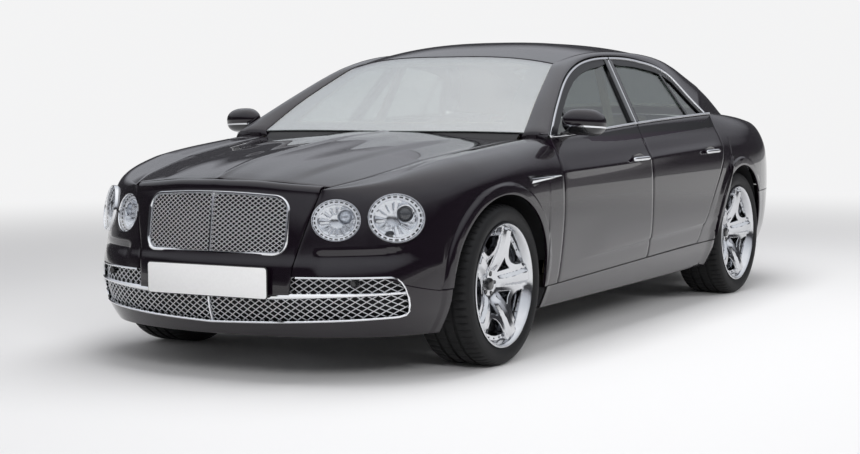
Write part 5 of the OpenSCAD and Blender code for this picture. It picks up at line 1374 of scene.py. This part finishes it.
lamp_sets = {kind: [] for kind in ("bezels", "bowls", "rings", "cells", "dark", "clear", "glass")}
cell_count, flutes, eye_aside, eye_up = 26, 7, 0.40, 0.19
for main_beam, (place, r) in zip((True, False), lamp_places):
    def bowl(radius, a):
        u = radius / (r * 0.76)
        flute = 0.0036 * abs(math.cos(a * flutes)) * ease((u - 0.35) / 0.2) * ease((0.97 - u) / 0.12)
        return -0.052 + 0.036 * u**2 + flute

    def sized(*profile):
        return [(r * share, h) for share, h in profile]

    lamp_sets["bezels"].append(lathe("bezel", sized(
        (0.995, -0.03), (0.995, 0.004), (0.975, 0.0085), (0.945, 0.0085), (0.915, 0.003), (0.905, -0.012),
        (0.90, -0.03)), place, chrome, wide=lamp_wide))
    lamp_sets["rings"].append(lathe("light_ring", sized(
        (0.91, -0.004), (0.85, -0.009), (0.77, -0.012), (0.755, -0.02)), place, cell_white, wide=lamp_wide))
    lamp_sets["bowls"].append(polar("bowl", place, r * 0.76, bowl, bowl_silver, turns=220, rings_n=36))
    aim = place @ Matrix.Translation((0.002, r * eye_aside, r * eye_up))
    lamp_sets["bezels"].append(lathe("eye_ring", sized(
        (0.35, -0.06), (0.375, -0.016), (0.36, -0.010), (0.315, -0.014), (0.305, -0.03)), aim, chrome, steps=64))
    lens = [(0.0005, -0.006)] + [(r * 0.31 * math.sin(a), -0.034 + 0.028 * math.cos(a))
                                 for a in (math.radians(d) for d in range(6, 91, 6))]
    lamp_sets["dark" if main_beam else "clear"].append(
        lathe("eye", lens, aim, lens_dark if main_beam else lens_clear, steps=48))
    if main_beam:
        low_cell = place @ Matrix.Translation((-0.016, -r * 0.25, -r * 0.58))
        lamp_sets["dark"].append(lathe("low_cell", [(0.0005, 0.005), (r * 0.1, 0.003), (r * 0.12, -0.02)],
                                       low_cell, lens_dark, wide=1.7, steps=32))
    lamp_sets["glass"].append(polar("dome", place, r * 0.955, lambda q, a: 0.016 - 0.012 * (q / r) ** 2, lamp_glass))
for place, r in lamp_places:
    verts, faces = [], []
    for k in range(cell_count):
        a0, a1 = (2 * math.pi * (k + part) / cell_count for part in (0.2, 0.8))
        n = len(verts)
        verts += [place @ Vector((h, r * q * lamp_wide * math.cos(a), r * q * math.sin(a)))
                  for h in (-0.013, -0.0055) for q, a in ((0.83, a0), (0.885, a0), (0.885, a1), (0.83, a1))]
        faces += [(n + 4, n + 5, n + 6, n + 7), (n + 3, n + 2, n + 1, n)]
        faces += [(n + j, n + (j + 1) % 4, n + 4 + (j + 1) % 4, n + 4 + j) for j in range(4)]
    lamp_sets["cells"].append(solid_of("cells", verts, faces, black_gloss, 30))
lamp_slots = {"cells": "steel", "bezels": "bright", "glass": "glass"}
lamp_nodes = {"bowls": ["headlamps"], "glass": ["lamp_lenses"]}
for kind, pieces in lamp_sets.items():
    pair = both("lamp_" + kind, joined("lamp_" + kind + "_left", pieces))
    fit_in(pair, "car", lamp_slots.get(kind, "lamp"), *lamp_nodes.get(kind, []))

# Tail lamps
# Oval red lenses in bright rims at the rear corners, ribbed inside.
# Each fills the hole in its rear wing.
red_lens = cover("red_lens", (0.22, 0.006, 0.008), 0.08, scale=240, tone=0.35, bump=0.0006, cells=True,
                 Coat_Weight=1.0, Coat_Roughness=0.02)
lens = polar("tail_lens", tail_place, tail_lamp_r * 0.93,
             lambda q, a: 0.022 - 0.010 * (q / tail_lamp_r) ** 2 + 0.0012 * math.cos(q * 700), red_lens, rings_n=40)
rim_ring = lathe("tail_rim", [(tail_lamp_r * share, h) for share, h in (
    (0.995, -0.03), (0.995, 0.014), (0.965, 0.017), (0.93, 0.012), (0.92, -0.02))],
    tail_place, chrome, wide=lamp_wide)
fit_in(both("tail_lamp_lenses", lens), "car", "red_lamp", "tail_lamps")
fit_in(both("tail_lamp_rims", rim_ring), "car", "bright")

# Wheels
# Polished five-spoke wheels, each spoke ridged, with webs between them and a bolted flange.
# Low tyres with three grooves and cut shoulders; steel brake discs turn behind the spokes.
half_t, rim_r, track_half = 0.1375, 0.278, 0.830
polish = cover("polished_alloy", (0.66, 0.67, 0.69), 0.13, metal=1.0, scale=26, tone=0.05, wear=0.06)
rubber = cover("tyre_rubber", (0.008, 0.008, 0.0085), 0.6, scale=160, tone=0.2, bump=0.0004,
               Specular_IOR_Level=0.3)
disc_steel = cover("brake_steel", (0.33, 0.33, 0.34), 0.3, metal=1.0, scale=90, tone=0.2)
hub_place = Matrix.Rotation(math.radians(90), 4, "Z")
spoke_count, spoke_turn = 5, math.radians(5)
dish_line = [(0.03, 0.050), (0.062, 0.054), (0.10, 0.073), (0.15, 0.093), (0.20, 0.105), (0.26, 0.112)]


def spoke_gap(a):
    """Angle from the nearest spoke's middle."""
    step = 2 * math.pi / spoke_count
    return (a - spoke_turn + step / 2) % step - step / 2


def wheel_face(r, a):
    """Height of a wheel's face: the dish, the spokes' ridges and the flange between them."""
    off = abs(r * math.sin(spoke_gap(a)))
    flat = mix(0.010, 0.019, clip((r - 0.06) / 0.17))
    ridge = 0.015 * (1 - clip((off - flat) / 0.015)) * ease((r - 0.058) / 0.035) * ease((0.266 - r) / 0.02)
    flange = -0.022 * ease((off - 0.046) / 0.014) * ease((r - 0.222) / 0.010)
    return curve(dish_line, r) + ridge + flange


def rounded_window(points, r, steps=7):
    """A closed outline with its corners rounded."""
    ring = []
    for i in range(len(points)):
        p, a, b = (np.array(points[k % len(points)], float) for k in (i, i - 1, i + 1))
        start, end = (p + (q - p) / np.linalg.norm(q - p) * r for q in (a, b))
        ring += [tuple(bow(start, p, end, u)) for u in span(0, 1, steps - 1)]
    return ring


def window_ring(k, points, r):
    """Outline of a window between two spokes, in the wheel's plane."""
    a = spoke_turn + 2 * math.pi * (k + 0.5) / spoke_count
    ring = rounded_window(points, r)
    return np.array([(x * math.cos(a) - y * math.sin(a), x * math.sin(a) + y * math.cos(a))
                     for x, y in dense(ring + ring[:1], 0.0028)])


def apart(spots, ring):
    """Distance of each spot from the nearest point of an outline."""
    return np.linalg.norm(spots[:, None] - ring[None], axis=2).min(1)


outer_half = [(0.156, 0.018), (0.174, 0.050), (0.209, 0.079), (0.227, 0.040)]
outer_window = [(x, -y) for x, y in outer_half] + [(0.231, 0.0)] + outer_half[::-1]
inner_window = [(0.076, 0.0), (0.136, -0.035), (0.131, 0.0), (0.136, 0.035)]
windows = [window_ring(k, points, r) for k in range(spoke_count)
           for points, r in ((outer_window, 0.011), (inner_window, 0.007))]
spots = np.array([(r * math.cos(a), r * math.sin(a))
                  for r in [0.024 + 0.236 * j / 50 for j in range(51)] for a in circle(320)])
for ring in windows:
    spots = spots[(apart(spots, ring) > 0.0036) & ~in_ring(ring, spots)]
seams = []
for ring in windows:
    along = np.roll(ring, -1, 0) - np.roll(ring, 1, 0)
    out = np.stack([along[:, 1], -along[:, 0]], 1) / np.linalg.norm(along, axis=1, keepdims=True)
    first = len(spots)
    seams += [(first + j, first + (j + 1) % len(ring)) for j in range(len(ring))]
    spots = np.concatenate([spots, ring, ring + out * 0.0022])
cut = delaunay_2d_cdt([Vector(q) for q in spots], seams, [], 0, 1e-7)
flat_spots, sheets = np.array(cut[0]), np.array(cut[2])
centres = flat_spots[sheets].mean(1)
keep = np.linalg.norm(centres, axis=1) > 0.0238
rounding = np.ones(len(flat_spots))
for ring in windows:
    keep &= ~in_ring(ring, centres)
    rounding = np.minimum(rounding, apart(flat_spots, ring) / 0.0021)
sheets = sheets[keep]
used = np.unique(sheets)
order = np.zeros(len(flat_spots), int)
order[used] = np.arange(len(used))
sheets, flat_spots, rounding = order[sheets], flat_spots[used], rounding[used]
front, rear = [], []
for (x, z), share in zip(flat_spots, rounding):
    r = math.hypot(x, z)
    front.append((-x, wheel_face(r, math.atan2(z, x)) - 0.0016 * (1 - share) ** 2, z))
    rear.append((-x, curve(dish_line, r) - 0.032, z))
count = len(front)
edge_use = {}
for tri in sheets.tolist():
    for j in range(3):
        pair = (tri[j], tri[(j + 1) % 3])
        key = tuple(sorted(pair))
        edge_use[key] = None if key in edge_use else pair
walls = [(b, a, a + count, b + count) for a, b in filter(None, edge_use.values())]
disc_face = solid_of("wheel_face", front + rear,
                     sheets.tolist() + (sheets[:, ::-1] + count).tolist() + walls, polish, 24)
rim_rings = lathe("rim_rings", [(0.236, -0.10), (0.240, 0.055), (0.2445, 0.066), (0.248, 0.078), (0.2505, 0.090),
                                (0.256, 0.104), (0.263, 0.118), (0.2685, 0.128), (0.2745, 0.1325), (0.281, 0.131),
                                (0.2815, 0.118), (0.262, 0.108), (0.262, -0.118), (0.281, -0.122),
                                (0.281, -0.132), (0.266, -0.132), (0.236, -0.115), (0.236, -0.10)],
                  hub_place, polish, steps=160)
wheel_one = joined("wheel_metal", [disc_face, rim_rings])


def round_hub(r, a):
    """A place on the wheel's face, at a radius and an angle."""
    return hub_place @ Matrix.Translation((0, r * math.cos(a), r * math.sin(a)))


cap_parts = [lathe("cap", [(0.0005, 0.064), (0.016, 0.0635), (0.025, 0.061), (0.028, 0.056), (0.029, 0.03)],
                   hub_place, black_gloss, steps=64)]
for k in range(spoke_count):
    a = spoke_turn + 2 * math.pi * k / spoke_count
    spot = round_hub(0.047, a) @ Matrix.Rotation(a, 4, "X")
    cap_parts.append(lathe("nut_well", [(0.0005, 0.0535), (0.0065, 0.0535), (0.0085, 0.0545), (0.009, 0.052),
                                        (0.009, 0.03)], spot, black_gloss, wide=1.35, steps=28))
bolt_count, bolt_ring = 30, 0.2415
for k in range(bolt_count):
    a = spoke_turn + 2 * math.pi * (k + 0.5) / bolt_count
    if abs(spoke_gap(a)) > 0.27:
        cap_parts.append(lathe("bolt", [(0.0003, 0.0905), (0.003, 0.0905), (0.0036, 0.089), (0.0036, 0.07)],
                               round_hub(bolt_ring, a), black_gloss, steps=8))
cap_one = joined("wheel_caps", cap_parts)
disc_one = lathe("brake_disc", [(0.05, -0.058), (0.196, -0.058), (0.196, -0.030), (0.11, -0.030), (0.105, 0.012),
                                (0.05, 0.012), (0.05, -0.058)], hub_place, disc_steel, steps=120)
tyre_profile = [(-0.20, 0.82), (0.0, 0.86), (0.05, 0.905), (0.09, 0.915), (0.11, 0.93), (0.2, 0.962), (0.3, 0.985),
                (0.42, 0.998), (0.55, 1.0), (0.66, 0.985), (0.72, 0.972), (0.75, 0.966), (0.78, 0.952), (0.86, 0.905),
                (0.93, 0.845), (0.965, 0.78), (0.985, 0.72), (0.994, 0.66), (0.997, 0.56), (0.999, 0.455),
                (0.905, 0.435), (0.905, 0.345), (0.999, 0.325), (1.0, 0.19), (1.0, 0.06), (0.905, 0.045)]
tyre_profile = tyre_profile + [(q, -w) for q, w in tyre_profile[::-1]]
rows = []
for k, a in enumerate(span(0, 2 * math.pi, 320)):
    row = []
    for q, w in tyre_profile:
        r = mix(rim_r, tyre_r, q)
        if 0.9 < q and 0.5 < abs(w) < 0.86 and k % 5 == 0:
            r -= 0.006
        elif q > 0.98 and abs(w) < 0.34 and (k + (2 if w > 0 else 0)) % 8 == 0:
            r -= 0.003
        row.append((r * math.cos(a), w * half_t, r * math.sin(a)))
    rows.append(row)
tyre_one = sheet("tyre", rows, rubber)
close_up(weld=1e-5)
smooth(35)
for end, axle in (("front", axle_f), ("rear", axle_r)):
    for flank, side in (("_left", 1), ("_right", -1)):
        corner = end + flank
        for piece, label, slot, stands_for in (
                (tyre_one, "_tread", "tyre", ["_tyre"]), (wheel_one, "_alloy", "alloy", ["_rim"]),
                (cap_one, "_cap", "steel", []), (disc_one, "_disc", "iron", [])):
            fit_in(placed(piece, corner + label, (1, side, 1), (axle, side * track_half, tyre_r)),
                   corner + "_wheel", slot, *(corner + node for node in stands_for))
for piece in (tyre_one, wheel_one, cap_one, disc_one):
    bpy.data.objects.remove(piece)

# Mirrors
# Domed housings, painted over and black under, with a bright strip between them.
# A black foot stands on the door at the corner of the window.
mirror_mid = np.array((0.945, 0.999, 1.074))


def power(v, e):
    """A power that keeps the sign."""
    return math.copysign(abs(v) ** e, v)


def mirror_point(theta, phi):
    """A rounded box: theta round its height, phi from the bottom to the top."""
    wide_at = power(math.cos(phi), 0.78 if phi > 0 else 0.55)
    x, y = wide_at * power(math.cos(theta), 0.66), wide_at * power(math.sin(theta), 0.76)
    z = power(math.sin(phi), 0.95 if phi > 0 else 0.8)
    deep = 0.084 if x > 0 else 0.020
    return mirror_mid + (x * deep - 0.012 * y, 0.104 * y, 0.064 * z - 0.004 * y + 0.006 * x)


def mirror_shell(name, low, high, material, grow=1.0):
    return loft(name, [[mirror_mid + (mirror_point(a, math.radians(d)) - mirror_mid) * grow
                        for a in circle(56)] for d in span(low, high, 16)], material)


mirror_glass = cover("mirror_silver", (0.8, 0.82, 0.84), 0.03, metal=1.0, scale=20, tone=0.03, wear=0.02)
foot_x = 0.94
foot_rings = []
for u in span(0, 1, 4):
    y = mix(plain_side(foot_x, belt_z(foot_x)) - 0.012, 0.975, u)
    z = mix(belt_z(foot_x) + 0.012, 1.034, u)
    foot_rings.append(oval((mirror_mid[0], y, z), (mix(0.062, 0.03, ease(u)), 0, 0),
                           (0, 0, mix(0.013, 0.016, u)), 24))
face_rings = [[(0.9245 - h - 0.012 * math.sin(a) * s, mirror_mid[1] + 0.088 * s * power(math.sin(a), 0.7),
                1.078 + 0.048 * s * power(math.cos(a), 0.7)) for a in circle(48)]
              for h, s in ((-0.004, 1.0), (0.001, 1.0), (0.002, 0.97))]
for label, piece, slot, stands_for in (
        ("housing", mirror_shell("housing", -14, 89.5, paint), "paint", ["_mirror"]),
        ("under", mirror_shell("under", -89.5, -20, black_gloss), "steel", []),
        ("band", mirror_shell("band", -20.5, -13.5, chrome, grow=1.012), "bright", []),
        ("foot", loft("foot", foot_rings, black_gloss), "steel", []),
        ("glass", loft("glass", face_rings, mirror_glass), "bright", [])):
    twin = other_side(piece, "right_mirror_" + label)
    piece.name = piece.data.name = "left_mirror_" + label
    for one, flank in ((piece, "left"), (twin, "right")):
        fit_in(one, "front_" + flank + "_leaf", slot, *(flank + node for node in stands_for))

# Wing vents
# A dark slot on each front wing behind the wheel, tapering into the crease of the door.
# A plain bright blade lies along it.
vent = [(1.516, 0.840), (1.40, 0.8385), (1.182, 0.831), (1.200, 0.822), (1.391, 0.806), (1.470, 0.790)]
vent_x, vent_z = 1.37, 0.822
slot_piece = loft("vent_slot", [
    [(mix(vent_x, x, t), side_y(x, z) + h, mix(vent_z, z, t)) for x, z in rounded_window(vent, 0.004, steps=4)]
    for h, t in ((-0.004, 1), (0.0012, 1), (0.002, 0.97))], black_gloss)
rings = []
for u in span(0, 1, 24):
    x, z, thick = mix(1.492, 1.19, u), mix(0.8165, 0.8275, u), mix(0.0125, 0.003, u)
    rings.append([(x, side_y(x, z) + h, z + dz * thick) for h, dz in (
        (0, -1), (0.006, -0.9), (0.009, -0.3), (0.009, 0.3), (0.006, 0.9), (0, 1))])
fit_in(both("wing_vents", loft("vent_blade", rings, chrome)), "car", "bright")
fit_in(both("vent_slots", slot_piece), "car", "steel")

# Sensors
# Small round parking sensors, one in each side mesh of the front bumper.
# A black cup holds each of them in the mesh.
sensor_y, sensor_z = 0.644, 0.430
sensor_place = Matrix.Translation((nose_x(sensor_y, sensor_z) - 0.012, sensor_y, sensor_z))
sensor = lathe("sensor", [(0.0005, 0.008), (0.010, 0.008), (0.012, 0.006), (0.0125, 0.003), (0.0165, 0.004),
                          (0.017, -0.03)], sensor_place, black_gloss, steps=32)
fit_in(both("sensors", sensor), "car", "steel")

# Seats
# Cream hide cushions, backs and head restraints, stuffed and stitched, on the seat frames.
# The rear bench is one cushion and one back across the car with two restraints.
hide = cover("cream_hide", (0.70, 0.60, 0.44), 0.48, scale=650, tone=0.07, wear=0.12, bump=0.0006, cells=True)
hide_dark = cover("dark_hide", (0.035, 0.024, 0.02), 0.45, scale=650, tone=0.2, bump=0.0005, cells=True)
walnut = cover("walnut_veneer", (0.16, 0.065, 0.025), 0.2, scale=14, tone=0.6, wear=0.05, Coat_Weight=0.8)
floor_top = tall * 0.145 + 0.028
seat_x, seat_y = door_split + half_l * 0.05, 0.385
bench_x = axle_r + arch_r * 0.75 + half_l * 0.165 + 0.0003


def pad(name, ring, y_low, y_high, cap=0.012, shrink=0.010):
    """A stuffed pad: an outline in x and z, swelled under pressure like cloth."""
    ring = np.array(ring, float)
    centre = ring.mean(0)
    ring = centre + (ring - centre) * (1 - shrink / np.abs(ring - centre).max())
    rings = []
    for u in (0, 0.02, 0.1, 0.3, 0.5, 0.7, 0.9, 0.98, 1):
        tuck = 1 - 0.12 * max(0, abs(u - 0.5) * 2 - 0.8) / 0.2
        y = mix(y_low + shrink, y_high - shrink, u)
        rings.append([(centre[0] + (x - centre[0]) * tuck, y, centre[1] + (z - centre[1]) * tuck)
                      for x, z in ring])
    soft_pad = loft(name, rings, hide)
    only(soft_pad)
    grid = soft_pad.modifiers.new("grid", "REMESH")
    grid.mode, grid.voxel_size = "VOXEL", 0.013
    bpy.ops.object.modifier_apply(modifier="grid")
    before = np.zeros(len(soft_pad.data.vertices) * 3, np.float32)
    soft_pad.data.vertices.foreach_get("co", before)
    cloth = soft_pad.modifiers.new("stuffing", "CLOTH")
    cloth.settings.use_pressure = True
    cloth.settings.uniform_pressure_force = 4
    cloth.settings.effector_weights.gravity = 0
    cloth.settings.quality = 4
    for step in range(1, 15):
        scene.frame_set(step)
    bpy.ops.object.modifier_apply(modifier="stuffing")
    scene.frame_set(1)
    after = np.zeros(len(before), np.float32)
    soft_pad.data.vertices.foreach_get("co", after)
    move = (after - before).reshape(-1, 3)
    far_off = np.linalg.norm(move, axis=1, keepdims=True)
    move *= np.minimum(1, cap / np.maximum(far_off, 1e-6))
    soft_pad.data.vertices.foreach_set("co", (before.reshape(-1, 3) + move).astype(np.float32).ravel())
    soft_pad.data.update()
    finer = soft_pad.modifiers.new("finer", "SUBSURF")
    finer.levels = finer.render_levels = 1
    bpy.ops.object.modifier_apply(modifier="finer")
    bpy.ops.object.shade_smooth()
    return soft_pad


def share_ring(x, pairs):
    return [(x + half_l * a, floor_top + tall * b) for a, b in pairs]


cushion = [(0.105, 0.085), (0.103, 0.150), (0.078, 0.170), (-0.055, 0.152), (-0.085, 0.135), (-0.09, 0.075)]
back = [(-0.062, 0.152), (-0.120, 0.43), (-0.150, 0.44), (-0.166, 0.42), (-0.118, 0.10), (-0.085, 0.10)]
rest = [(-0.125, 0.462), (-0.129, 0.553), (-0.158, 0.563), (-0.167, 0.475)]
for name, x, y0, y1, rests, stands_for in (
        ("front_left_seat", seat_x, 0.135, 0.635, [seat_y], ["front_seats"]),
        ("front_right_seat", seat_x, -0.635, -0.135, [-seat_y], []),
        ("rear_bench", bench_x, -half_w * 0.63, half_w * 0.63, [-seat_y, seat_y], ["rear_seat"])):
    fit_in(pad(name + "_cushion", share_ring(x, cushion), y0, y1), "car", "hide", *stands_for)
    fit_in(pad(name + "_back", share_ring(x, back), y0 + 0.01, y1 - 0.01), "car", "hide")
    for k, y in enumerate(rests):
        head_pad = pad(name + "_rest_" + str(k), share_ring(x, rest), y - 0.135, y + 0.135, cap=0.008)
        fit_in(head_pad, "car", "hide")
seat_bases = []
for x, y0, y1 in ((seat_x, 0.17, 0.60), (seat_x, -0.60, -0.17), (bench_x, -0.6, 0.6)):
    low = [(x - 0.25, y0), (x + 0.2, y0), (x + 0.2, y1), (x - 0.25, y1)]
    seat_bases.append(loft("base", [[(a, b, z) for a, b in low] for z in (floor_top, floor_top + 0.13)], hide_dark))
posts = [loft("post", [oval((x - half_l * 0.145, y + s, floor_top + tall * b), (0.005, 0, 0), (0, 0.005, 0), 16)
                       for b in (0.42, 0.48)], chrome)
         for x in (seat_x, bench_x) for y in (-seat_y, seat_y) for s in (-0.06, 0.06)]
fit_in(joined("seat_bases", seat_bases), "car", "hide_dark")
fit_in(joined("restraint_posts", posts), "car", "bright")

# Dashboard, console and steering wheel
# The dashboard and the console keep their solids under hide; a veneer strip crosses the dashboard.
# The steering wheel is bound in dark hide.
dress("dashboard", hide_dark)
dress("console", hide)
dress("steering_wheel", hide_dark)
dash_x, dash_z = half_l * 0.355 - skin, tall * 0.645
veneer = strip("dash_veneer", [(dash_x - half_l * 0.1155, y, dash_z - 0.038) for y in span(-0.70, 0.70, 20)],
               lambda p: (-1, 0, 0.6), 0.05, 0.004, walnut)
fit_in(veneer, "car", "trim")
